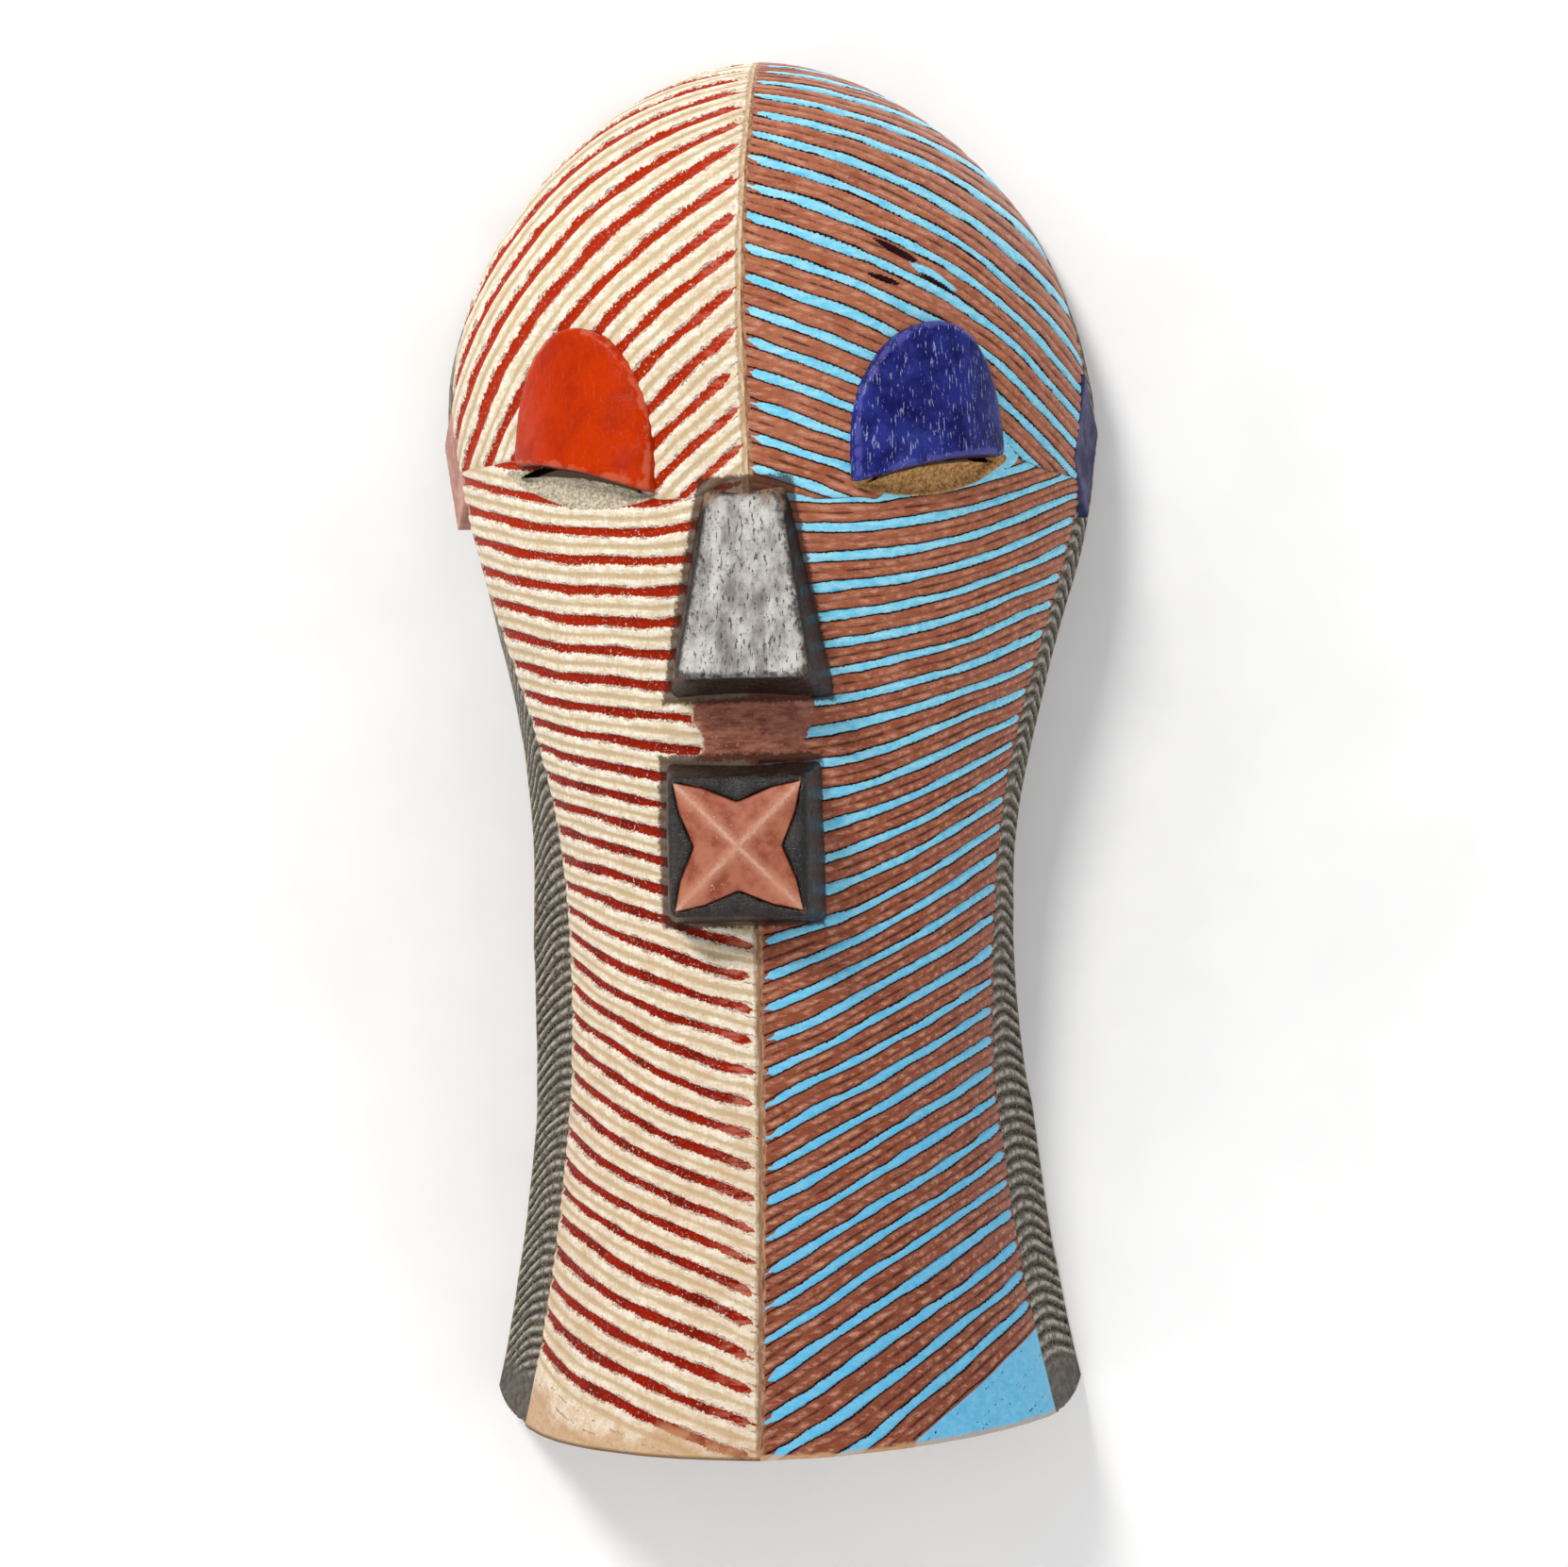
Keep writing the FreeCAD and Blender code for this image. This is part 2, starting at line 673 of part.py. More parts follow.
def rim_corner(name, side):
    """What is cut away to round one lower corner of the rim."""
    block = doc.addObject("Part::Box", name + "_block")
    block.setExpression("Length", "dims.corner_radius + dims.corner_overrun")
    block.setExpression("Width", "dims.corner_radius + 1")
    block.setExpression("Height", "dims.band_depth + 1")
    if side < 0:
        block.setExpression("Placement.Base.x", "-(dims.corner_radius + dims.corner_overrun)")
    block.setExpression("Placement.Base.y", "-dims.corner_radius - 1")
    rod = doc.addObject("Part::Cylinder", name + "_rod")
    rod.setExpression("Radius", "dims.corner_radius")
    rod.setExpression("Height", "dims.band_depth + 1")
    corner = doc.addObject("Part::Cut", name)
    corner.Base = block
    corner.Tool = rod
    place(
        corner,
        f"{side} * (dims.waist_half + dims.chin_flare - dims.corner_inset - dims.corner_radius)",
        "1",
        "dims.corner_radius",
        "0",
        "90",
    )
    return corner


def hanger_seat():
    """Shallow rebate for the hanger, and a deeper pocket where the wall hook's head goes."""
    rebate = doc.addObject("Part::Box", "hanger_rebate")
    rebate.setExpression("Length", "2 * dims.hanger_half")
    rebate.setExpression("Width", "dims.hanger_recess + dims.hanger_thick + 1")
    rebate.setExpression("Height", "dims.hanger_rise + dims.tooth_depth")
    rebate.setExpression("Placement.Base.x", "-dims.hanger_half")
    rebate.setExpression("Placement.Base.y", "-dims.hanger_recess - dims.hanger_thick")
    rebate.setExpression("Placement.Base.z", "-dims.tooth_depth")
    pocket = doc.addObject("Part::Box", "hook_pocket")
    pocket.setExpression("Length", "2 * dims.hook_half")
    pocket.setExpression("Width", "dims.hook_depth + 1")
    pocket.setExpression("Height", "dims.hook_drop + dims.nail_rise")
    pocket.setExpression("Placement.Base.x", "-dims.hook_half")
    pocket.setExpression("Placement.Base.y", "-dims.hook_depth")
    pocket.setExpression("Placement.Base.z", "-dims.hook_drop")
    return [rebate, pocket]


def space_behind():
    """Everything behind the wall's face, cut away to leave the rim flat."""
    block = doc.addObject("Part::Box", "space_behind")
    block.setExpression("Length", "4 * dims.head_half")
    block.Width = 4.0 * BEHIND
    block.setExpression("Height", "2 * dims.mask_height")
    block.setExpression("Placement.Base.x", "-2 * dims.head_half")
    block.setExpression("Placement.Base.z", "-1.5 * dims.mask_height")
    return block


def mask_shell(fittings):
    """The carved head: outer form less the hollow, the slits and the seats of all fitted pieces."""
    outer = carved_form("outer_form", outer_section, 0.0, size("mask_height"))
    inner = carved_form("inner_form", inner_section, -BELOW_CHIN, size("mask_height") - size("crown_wall"))
    hollowed = doc.addObject("Part::Cut", "hollowed_form")
    hollowed.Base = outer
    hollowed.Tool = inner
    tools = list(fittings) + hanger_seat() + [space_behind()]
    for label, side in SIDES.items():
        tools.append(slit(label, side))
        tools.append(rim_corner(label + "_corner", side))
    return cut_from("mask_shell", hollowed, tools)


def build_mask():
    nose = nose_block()
    mouth = mouth_block()
    star = mouth_star()
    lids = [eyelid(label, side) for label, side in SIDES.items()]
    ears = [ear_plate(label + "_ear_plate", side) for label, side in SIDES.items()]
    nose_pegs = peg_pair("nose_pegs", "dims.nose_peg_low", "dims.nose_peg_high", "dims.nose_peg_in_wall")
    place_nose(nose_pegs)
    gap = "dims.mouth_peg_gap / 2"
    mouth_pegs = peg_pair("mouth_pegs", "-" + gap, gap, "dims.mouth_peg_in_wall")
    place_mouth(mouth_pegs)
    plate = hanger_plate()
    nails = hanger_nails()
    shell = mask_shell([nose, mouth, *lids, *ears, nose_pegs, mouth_pegs, nails])
    return [shell, nose, mouth, star, *lids, *ears, nose_pegs, mouth_pegs, plate, nails]


def write_parts(pieces):
    for item in doc.Objects:
        if {"Invalid", "Error"} & set(item.State):
            raise RuntimeError(f"{item.Name} did not recompute: {item.State}")
    for piece in pieces:
        if piece.Shape.isNull() or not piece.Shape.isValid():
            raise RuntimeError(f"{piece.Label} has no valid shape")
    os.makedirs("parts", exist_ok=True)
    for piece in pieces:
        piece.Shape.exportStep(f"parts/{piece.Label}.step")


parts = build_mask()
doc.recompute()
write_parts(parts)
for part in parts:
    print(part.Label, len(part.Shape.Solids), round(part.Shape.Volume), part.Shape.BoundBox)
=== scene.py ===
"""Looks of the carved wooden mask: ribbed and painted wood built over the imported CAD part.

The face, the side bands and the hollow are drawn again here with their carving as real relief.
Lengths are in millimetres until a mesh is made. `height` is measured up from the chin, `across`
from the centre line outwards, and `turn` runs from 0 at the centre line to a quarter circle at
the edge of the face.
"""

import math

import bpy
import numpy as np
from mathutils import Euler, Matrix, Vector


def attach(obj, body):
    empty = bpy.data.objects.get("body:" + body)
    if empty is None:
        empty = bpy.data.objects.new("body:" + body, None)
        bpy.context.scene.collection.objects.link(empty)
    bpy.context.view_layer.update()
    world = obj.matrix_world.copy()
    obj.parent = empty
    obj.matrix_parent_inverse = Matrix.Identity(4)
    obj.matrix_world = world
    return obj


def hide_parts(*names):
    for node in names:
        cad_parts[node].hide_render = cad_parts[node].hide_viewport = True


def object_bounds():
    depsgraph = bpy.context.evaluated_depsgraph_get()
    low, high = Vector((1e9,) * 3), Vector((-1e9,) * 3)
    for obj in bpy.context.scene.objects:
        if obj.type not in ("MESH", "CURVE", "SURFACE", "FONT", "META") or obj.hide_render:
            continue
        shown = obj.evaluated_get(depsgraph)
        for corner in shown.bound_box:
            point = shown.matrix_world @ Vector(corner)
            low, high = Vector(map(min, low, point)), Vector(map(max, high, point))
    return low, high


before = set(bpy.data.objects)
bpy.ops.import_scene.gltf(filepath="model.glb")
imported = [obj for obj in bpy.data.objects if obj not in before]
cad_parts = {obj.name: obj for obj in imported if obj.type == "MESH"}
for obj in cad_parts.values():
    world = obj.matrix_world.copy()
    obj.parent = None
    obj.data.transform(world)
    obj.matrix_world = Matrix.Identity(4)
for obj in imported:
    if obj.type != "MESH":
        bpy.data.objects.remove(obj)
cad_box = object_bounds()

MM = 0.001
QUARTER = 0.5 * math.pi
SIDES = {"left": -1, "right": 1}

# The carved form, with the same driving dimensions as the CAD part.
MASK_HEIGHT = 440.0
HANG_DROP = 17.5
WAIST_HALF = 79.0
WAIST_HEIGHT = 152.0
CHIN_FLARE = 19.0
NECK_HEIGHT = 165.0
CHEEK_BIAS = 1.2
HEAD_HALF = 106.0
HEAD_HEIGHT = 325.0
HEAD_POWER = 1.8
RIM_SWAY = 2.2
SWAY_HEIGHT = 215.0
SWAY_LENGTH = 120.0
BAND_INSET = 14.5
TEMPLE_INSET = 4.5
CROWN_INSET = 0.8
BAND_DEPTH = 28.0
BAND_SHARE = 0.3  # most that the band may take of the depth at the centre line
CROWN_DEPTH = 3.0
INSET_START = 100.0
CHEEK_HEIGHT = 262.0
TEMPLE_HEIGHT = 300.0
CROWN_HEIGHT = 368.0
CHIN_DEPTH = 103.0
HOLLOW_HEIGHT = 140.0
HOLLOW_DEPTH = 92.0
BROW_HEIGHT = 335.0
BROW_DEPTH = 104.0
FACE_ROUNDNESS = 0.72
HEAD_ROUNDNESS = 0.60
KEEL_SHARPNESS = 0.10
CHIN_LEAN = 0.125
CROWN_LEAN = 0.07
RIM_WALL = 15.0
KEEL_WALL = 15.0
CROWN_WALL = 32.0

# The sight slits, each a crescent between two arcs on one slanting chord.
EYE_OFFSET = 54.0
EYE_DRIFT = 4.9
SLIT_HEIGHT = {-1: 297.4, 1: 299.0}
SLIT_HALF = 20.0
SLIT_TILT = math.radians(11.0)
SLIT_TOP = 6.6
SLIT_LOW = 2.0

# Rounded lower corners of the rim, and the seats of the hanger in the back: a rebate and a pocket,
# each as half width, bottom and top in the row frame, and depth.
CORNER_RADIUS = 12.0
CORNER_INSET = 1.5
HANGER_SEATS = [(19.0, -1.5, 7.5, 2.0), (14.0, -7.0, 3.0, 8.0)]

# Middle of the star on the mouth, across and up in the row frame.
STAR_MIDDLE = (-12.3, -236.9)

# How deep the carving goes: the face's ribs, the bands' ribs, the bare crescents, the gashes and
# the tool marks in the hollow.
RIB_DEPTH = 0.98
BAND_RIB_DEPTH = 1.15
CRESCENT_DEPTH = 1.6
GASH_DEPTH = 2.2
FACET_DEPTH = 2.6

# The rubbed wood between the nose and the mouth: its middle, half height and reach from the keel.
BRIDGE_HEIGHT = 221.0
BRIDGE_HALF = 8.0
BRIDGE_REACH = 17.0

# Rise and pitch of the ribs on each side band, how far they bow, and the plain wood below them.
BAND_RIBS = {"left": (-13.0, 3.8), "right": (-3.0, 4.3)}
BAND_BOW = 3.0
BAND_PLAIN = 13.0

# How finely the carving is drawn.
ROW_STEP = 0.62
FACE_COLUMNS = 185
BAND_COLUMNS = 44
HOLLOW_COLUMNS = 62
RIM_COLUMNS = 34


def smooth(amount):
    amount = np.clip(amount, 0.0, 1.0)
    return amount * amount * (3.0 - 2.0 * amount)


def noise(points, size, seed):
    """Smooth random values from -1 to 1, with features about `size` across."""
    table = np.random.default_rng(seed).uniform(-1.0, 1.0, (32, 32, 32))
    spot = points / size
    low = np.floor(spot).astype(int)
    part = smooth(spot - low)
    total = 0.0
    for corner in np.ndindex(2, 2, 2):
        weight = np.prod(np.where(corner, part, 1.0 - part), axis=-1)
        cell = (low + corner) % 32
        total = total + weight * table[cell[..., 0], cell[..., 1], cell[..., 2]]
    return total


def wander(along, over, size, seed):
    """The same noise over two measures of the surface."""
    return noise(np.stack([along, over, np.zeros_like(along)], axis=-1), size, seed)


def halved(low, high, steps, falls_short):
    """The value between two arrays at which a test stops being true, found by halving."""
    for _ in range(steps):
        middle = 0.5 * (low + high)
        short = falls_short(middle)
        low = np.where(short, middle, low)
        high = np.where(short, high, middle)
    return middle


# The form. Each function takes arrays; `wall` is 0 for the outside and 1 for the hollow.


def head_fraction(height, wall):
    top = MASK_HEIGHT - wall * CROWN_WALL
    return np.clip((height - HEAD_HEIGHT) / (top - HEAD_HEIGHT), 0.0, 1.0)


def rim_half(height, wall=0):
    below = np.maximum(WAIST_HEIGHT - height, 0.0) / WAIST_HEIGHT
    above = np.clip((height - NECK_HEIGHT) / (HEAD_HEIGHT - NECK_HEIGHT), 0.0, 1.0)
    half = WAIST_HALF + CHIN_FLARE * below**2
    half = half + (HEAD_HALF - WAIST_HALF) * smooth(above**CHEEK_BIAS)
    dome = (1.0 - head_fraction(height, wall) ** HEAD_POWER) ** (1.0 / HEAD_POWER)
    return (half - wall * RIM_WALL) * dome


def keel_depth(height, wall=0):
    below = np.maximum(HOLLOW_HEIGHT - height, 0.0) / HOLLOW_HEIGHT
    above = (height - HOLLOW_HEIGHT) / (BROW_HEIGHT - HOLLOW_HEIGHT)
    depth = HOLLOW_DEPTH + (CHIN_DEPTH - HOLLOW_DEPTH) * below**2
    depth = depth + (BROW_DEPTH - HOLLOW_DEPTH) * smooth(above)
    top = MASK_HEIGHT - wall * CROWN_WALL
    over = np.clip((height - BROW_HEIGHT) / (top - BROW_HEIGHT), 0.0, 1.0)
    return (depth - wall * KEEL_WALL) * np.sqrt(1.0 - over**2)


def edge_half(height):
    low = smooth((height - INSET_START) / (TEMPLE_HEIGHT - INSET_START))
    high = smooth((height - TEMPLE_HEIGHT) / (CROWN_HEIGHT - TEMPLE_HEIGHT))
    inset = BAND_INSET - (BAND_INSET - TEMPLE_INSET) * low - (TEMPLE_INSET - CROWN_INSET) * high
    rim = rim_half(height)
    return rim - inset * rim / (rim + BAND_INSET)


def band_depth(height):
    fade = smooth((height - CHEEK_HEIGHT) / (CROWN_HEIGHT - CHEEK_HEIGHT))
    depth = BAND_DEPTH - (BAND_DEPTH - CROWN_DEPTH) * fade
    return np.minimum(depth, BAND_SHARE * keel_depth(height))


def roundness(height):
    rise = smooth((height - CHEEK_HEIGHT) / (BROW_HEIGHT - CHEEK_HEIGHT))
    return FACE_ROUNDNESS + (HEAD_ROUNDNESS - FACE_ROUNDNESS) * rise


def lean(height):
    return CHIN_LEAN + (CROWN_LEAN - CHIN_LEAN) * height / MASK_HEIGHT


def sway(height):
    turns = np.clip((height - SWAY_HEIGHT) / SWAY_LENGTH, -1.0, 1.0)
    return RIM_SWAY * np.sin(math.pi * turns)


def to_row_frame(x, depth, height):
    return np.stack(np.broadcast_arrays(x, -depth, height + HANG_DROP - MASK_HEIGHT), axis=-1)


def face_point(height, turn, side):
    across = np.sin(turn)
    bulge = np.maximum(np.cos(turn), 0.0) ** (2.0 * roundness(height))
    bulge = bulge - KEEL_SHARPNESS * across * (1.0 - across)
    forward = (keel_depth(height) - band_depth(height)) * bulge
    x = side * edge_half(height) * across - lean(height) * forward
    return to_row_frame(x, band_depth(height) + forward, height)


def hollow_point(height, turn, side):
    bulge = np.maximum(np.cos(turn), 0.0) ** (2.0 * roundness(height))
    forward = keel_depth(height, 1) * bulge
    x = side * rim_half(height, 1) * np.sin(turn) - lean(height) * forward
    return to_row_frame(x, forward, height)


def rim_point(height, side):
    x = sway(height) + side * rim_half(height)
    return to_row_frame(x, 0.0, height)


def row_heights(top):
    """Even steps up to the widest level of the head, then even turns over its dome."""
    dome = np.linspace(0.0, QUARTER, int(QUARTER * (top - HEAD_HEIGHT) / ROW_STEP) + 1)
    low = np.linspace(0.0, HEAD_HEIGHT, int(HEAD_HEIGHT / ROW_STEP), endpoint=False)
    return np.concatenate([low, HEAD_HEIGHT + (top - HEAD_HEIGHT) * np.sin(dome)])


def outward(points, side):
    """Unit normals of a grid of points, pointing out of the wood."""
    normals = side * np.cross(np.gradient(points, axis=1), np.gradient(points, axis=0))
    normals[-1] = (0.0, 0.0, 1.0)
    return normals / np.maximum(np.linalg.norm(normals, axis=-1, keepdims=True), 1e-9)


def run_from_start(points):
    """Distance along each row of a grid from its first column."""
    steps = np.linalg.norm(np.diff(points, axis=1), axis=-1)
    return np.concatenate([np.zeros((len(points), 1)), np.cumsum(steps, axis=1)], axis=1)


def hand_carved(points):
    """Small unevenness of hand work, the same for every piece at one place."""
    drift = [0.55 * noise(points, 34.0, seed) + 0.14 * noise(points, 9.0, seed + 3) for seed in (1, 2, 3)]
    moved = points + np.stack(drift, axis=-1)
    moved[..., 1] = np.minimum(moved[..., 1], 0.0)
    return rounded_corners(moved)


def rounded_corners(points):
    """Draws the rim in to the arc of its two lower corners; the face itself keeps its width."""
    middle = WAIST_HALF + CHIN_FLARE - CORNER_INSET - CORNER_RADIUS
    below = np.clip(CORNER_RADIUS - (points[..., 2] + MASK_HEIGHT - HANG_DROP), 0.0, CORNER_RADIUS)
    reach = np.where(below > 0.0, middle + np.sqrt(CORNER_RADIUS**2 - below**2), np.inf)
    reach = np.where(points[..., 1] > -BAND_DEPTH - 1.0, reach, np.inf)
    rounded = points.copy()
    rounded[..., 0] = np.clip(points[..., 0], -reach, reach)
    return rounded


# Meshes


def add_object(name, data):
    added = bpy.data.objects.new(name, data)
    bpy.context.scene.collection.objects.link(added)
    return added


def add_marks(mesh, marks):
    """Gives a mesh one number per point for each mark, and smooth shading."""
    for mark, values in marks.items():
        attribute = mesh.attributes.new(mark, "FLOAT", "POINT")
        attribute.data.foreach_set("value", values.astype(np.float32))
    mesh.polygons.foreach_set("use_smooth", np.ones(len(mesh.polygons), bool))


def mesh_object(name, points, faces, marks=None, mend=0.0):
    """A mesh from a grid of points in millimetres and the four-sided faces to keep of it."""
    used, faces = np.unique(faces, return_inverse=True)
    points = points.reshape(-1, 3)
    faces = faces.reshape(-1, 4)
    mesh = bpy.data.meshes.new(name)
    mesh.vertices.add(len(used))
    mesh.vertices.foreach_set("co", (points[used] * MM).astype(np.float32).ravel())
    mesh.loops.add(faces.size)
    mesh.loops.foreach_set("vertex_index", faces.astype(np.int32).ravel())
    mesh.polygons.add(len(faces))
    mesh.polygons.foreach_set("loop_start", np.arange(0, faces.size, 4, dtype=np.int32))
    mesh.update(calc_edges=True)
    mesh.validate()
    add_marks(mesh, {mark: values.ravel()[used] for mark, values in (marks or {}).items()})
    piece = add_object(name, mesh)
    if mend:
        weld = piece.modifiers.new("weld", "WELD")
        weld.merge_threshold = mend * MM
        bake_modifiers(piece)
    return piece


def bake_modifiers(piece):
    shaped = piece.evaluated_get(bpy.context.evaluated_depsgraph_get())
    mesh = bpy.data.meshes.new_from_object(shaped)
    piece.modifiers.clear()
    piece.data = mesh


def grid_faces(rows, columns, side):
    """Four-sided faces over a grid of points, wound to face out of the wood."""
    index = np.arange(rows * columns).reshape(rows, columns)
    corners = [index[:-1, :-1], index[:-1, 1:], index[1:, 1:], index[1:, :-1]]
    return np.stack(corners[::side], axis=-1)


# The ribbed carving. Each half has two families of ribs: one on the cheeks, counted up from the
# chin, and one on the forehead, counted up from the brow. A painted stripe is at each whole number.

FAMILY_HEIGHTS = [0.0, 60.0, 120.0, 170.0, 230.0, 290.0]
RIBS = {
    "left": {
        "slope": [0.32, 0.40, 0.46, 0.30, 0.17, 0.08],
        "curve": [0.0009, 0.0009, 0.0019, 0.0007, 0.0018, 0.0032],
        "count": [-0.5, 5.25, 11.6, 17.2, 24.2, 30.8],
        "brow_fall": [0.76, 0.60],
        "brow_curl": 4.65e-5,
        "brow_count": (307.5, 403.0, 8.0),
        "crown_pitch": math.radians(5.4),
        "boundary": ([0.0, 18.0, 28.0, 78.0, 110.0], [298.0, 291.5, 291.5, 306.0, 307.0]),
    },
    "right": {
        "slope": [0.72, 0.57, 0.52, 0.62, 0.32, 0.19],
        "curve": [0.0025, 0.0, 0.0007, 0.0040, 0.0035, 0.0036],
        "count": [-0.3, 4.7, 10.95, 16.4, 23.4, 30.7],
        "brow_fall": [0.33, 0.28],
        "brow_curl": 2.6e-5,
        "brow_count": (300.2, 397.0, 10.0),
        "crown_pitch": math.radians(5.9),
        "boundary": ([0.0, 20.0, 38.0, 48.0, 80.0, 110.0], [296.0, 290.0, 290.5, 297.0, 304.5, 298.0]),
    },
}
FAMILY_ACROSS = 50.0  # where the cheek ribs are counted, clear of the nose and the mouth
BROW_FALL_HEIGHTS = [350.0, 400.0]
CROWN_FADE = 38.0  # the forehead ribs level out over this much of the crown


def cheek_count(across, height, ribs):
    """Number of the cheek rib at each place: each rib is a shallow curve from its own height."""
    out = across - FAMILY_ACROSS
    start = height
    for _ in range(12):
        slope = np.interp(start, FAMILY_HEIGHTS, ribs["slope"])
        curve = np.interp(start, FAMILY_HEIGHTS, ribs["curve"])
        start = height - slope * out - curve * out**2
    first = (ribs["count"][1] - ribs["count"][0]) / FAMILY_HEIGHTS[1]
    last = (ribs["count"][-1] - ribs["count"][-2]) / (FAMILY_HEIGHTS[-1] - FAMILY_HEIGHTS[-2])
    count = np.interp(start, FAMILY_HEIGHTS, ribs["count"])
    count = count + np.minimum(start, 0.0) * first
    return count + np.maximum(start - FAMILY_HEIGHTS[-1], 0.0) * last


def brow_count(across, height, ribs):
    """Number of the forehead rib at each place: each falls outwards, ever more steeply."""
    brow, crown, ribs_between = ribs["brow_count"]

    def below(start):
        fall = np.interp(start, BROW_FALL_HEIGHTS, ribs["brow_fall"])
        fall = fall * np.clip((MASK_HEIGHT - 2.0 - start) / CROWN_FADE, 0.0, 1.0)
        return start - fall * across - ribs["brow_curl"] * across**3 <= height

    start = halved(np.full_like(height, 150.0), np.full_like(height, 600.0), 26, below)
    over = np.arcsin(np.clip((start - BROW_HEIGHT) / (MASK_HEIGHT - BROW_HEIGHT), -1.0, 1.0))
    crown_over = math.asin((crown - BROW_HEIGHT) / (MASK_HEIGHT - BROW_HEIGHT))
    even = (start - brow) / (crown - brow) * ribs_between
    return np.where(start < crown, even, ribs_between + (over - crown_over) / ribs["crown_pitch"])


def groove(count, at, width):
    """1 at the bottom of the groove at this part of each rib's pitch, 0 beyond its width."""
    off = np.abs((count - at + 0.5) % 1.0 - 0.5)
    return np.maximum(1.0 - off / width, 0.0)


def rib_relief(count, name):
    """Depth below the ribs' tops, from 0 to 1.

    The left stripes lie in valleys with two ridges between them. The right stripes are flat and
    raised, with a narrow groove on each side, and a fine line divides the rib between them.
    """
    if name == "left":
        valley = np.minimum(1.7 * groove(count, 0.0, 0.22), 1.0)
        between = groove(count, 0.5, 0.13) ** 1.2
        return np.maximum(valley, 0.4 * between)
    beside = np.maximum(groove(count, 0.17, 0.055), groove(count, 0.83, 0.055))
    between = groove(count, 0.5, 0.06)
    over_ridge = (count % 1.0 - 0.17) / 0.33 % 1.0
    ridge = 0.32 * (1.0 - np.sin(math.pi * over_ridge))
    stripe = np.where(np.abs((count + 0.5) % 1.0 - 0.5) < 0.16, 0.12, ridge)
    return np.maximum(np.maximum(beside, 0.7 * between) ** 1.2, stripe)


def slit_place(across_x, height, side):
    """Along and above the chord of one sight slit; along grows away from the nose."""
    dx = side * (across_x + EYE_DRIFT) - EYE_OFFSET
    dz = height - SLIT_HEIGHT[side]
    along = dx * math.cos(SLIT_TILT) + dz * math.sin(SLIT_TILT)
    above = -dx * math.sin(SLIT_TILT) + dz * math.cos(SLIT_TILT)
    return along, above


def arc_radius(rise):
    return (SLIT_HALF**2 + rise**2) / (2.0 * rise)


def arc_distance(along, above, rise):
    """Distance above one arc of a slit, which stands on the chord with this rise."""
    radius = arc_radius(rise)
    return np.hypot(along, above + radius - rise) - radius


def cut_slit(points, heights, side):
    """Draws the nearest points onto a slit's outline, and tells which cells lie outside it."""
    snapped = points.copy()
    for rise in (SLIT_TOP, SLIT_LOW):
        along, above = slit_place(snapped[..., 0], heights, side)
        distance = arc_distance(along, above, rise)
        near = (np.abs(distance) < 0.5 * ROW_STEP) & (np.abs(along) < SLIT_HALF)
        snapped[..., 2] -= np.where(near, distance, 0.0)
    along, above = slit_place(points[..., 0], heights, side)
    clearance = np.maximum(arc_distance(along, above, SLIT_TOP), -arc_distance(along, above, SLIT_LOW))
    middle = clearance[:-1, :-1] + clearance[1:, :-1] + clearance[:-1, 1:] + clearance[1:, 1:]
    return snapped, middle > 0.0


def crescent_inside(along, above):
    """How far inside the bare crescent of wood under a slit a place is, negative outside it."""
    low = -7.0 * (1.0 - np.clip(along / 25.0, -1.0, 1.0) ** 2)
    return np.minimum(above - low, 2.0 - above) - np.maximum(np.abs(along) - 24.0, 0.0)


# Long marks on the face, each as height, across, half length, half width and slope along it.
GASHES = [(367.5, 46.0, 8.5, 1.0, -0.52), (358.3, 42.5, 5.5, 0.8, -0.35), (357.6, 58.0, 7.5, 0.55, -0.6)]
HOOKS = [(307.6, 77.0, 4.8, 2.2, -0.8), (301.5, 74.8, 8.8, 2.4, 0.68), (359.6, 57.0, 9.0, 1.8, -0.62)]


def long_marks(places, across, height):
    """1 along the middle of each long mark, 0 at its outline and beyond."""
    strongest = np.zeros_like(height)
    for middle_height, middle_across, half_length, half_width, slope in places:
        run = 1.0 / math.hypot(1.0, slope)
        dx = across - middle_across
        dz = height - middle_height
        along = (dx + slope * dz) * run / half_length
        over = (dz - slope * dx) * run / half_width
        strongest = np.maximum(strongest, 1.0 - along**2 - np.abs(over))
    return strongest


# Outlines of the blocks where they meet the face: middle across, bottom, top, half width there.
BLOCK_SEATS = [(-8.2, 229.5, 297.0, 26.0, 14.0), (-11.2, 161.0, 213.0, 24.6, 24.6)]


def seat_distance(x, height):
    """Distance outside the nearer of the nose and the mouth, negative under them."""
    nearest = np.full_like(height, 99.0)
    for middle, bottom, top, low_half, top_half in BLOCK_SEATS:
        half = np.interp(height, (bottom, top), (low_half, top_half))
        beyond = np.stack([np.abs(x - middle) - half, bottom - height, height - top])
        nearest = np.minimum(nearest, beyond.max(axis=0))
    return nearest


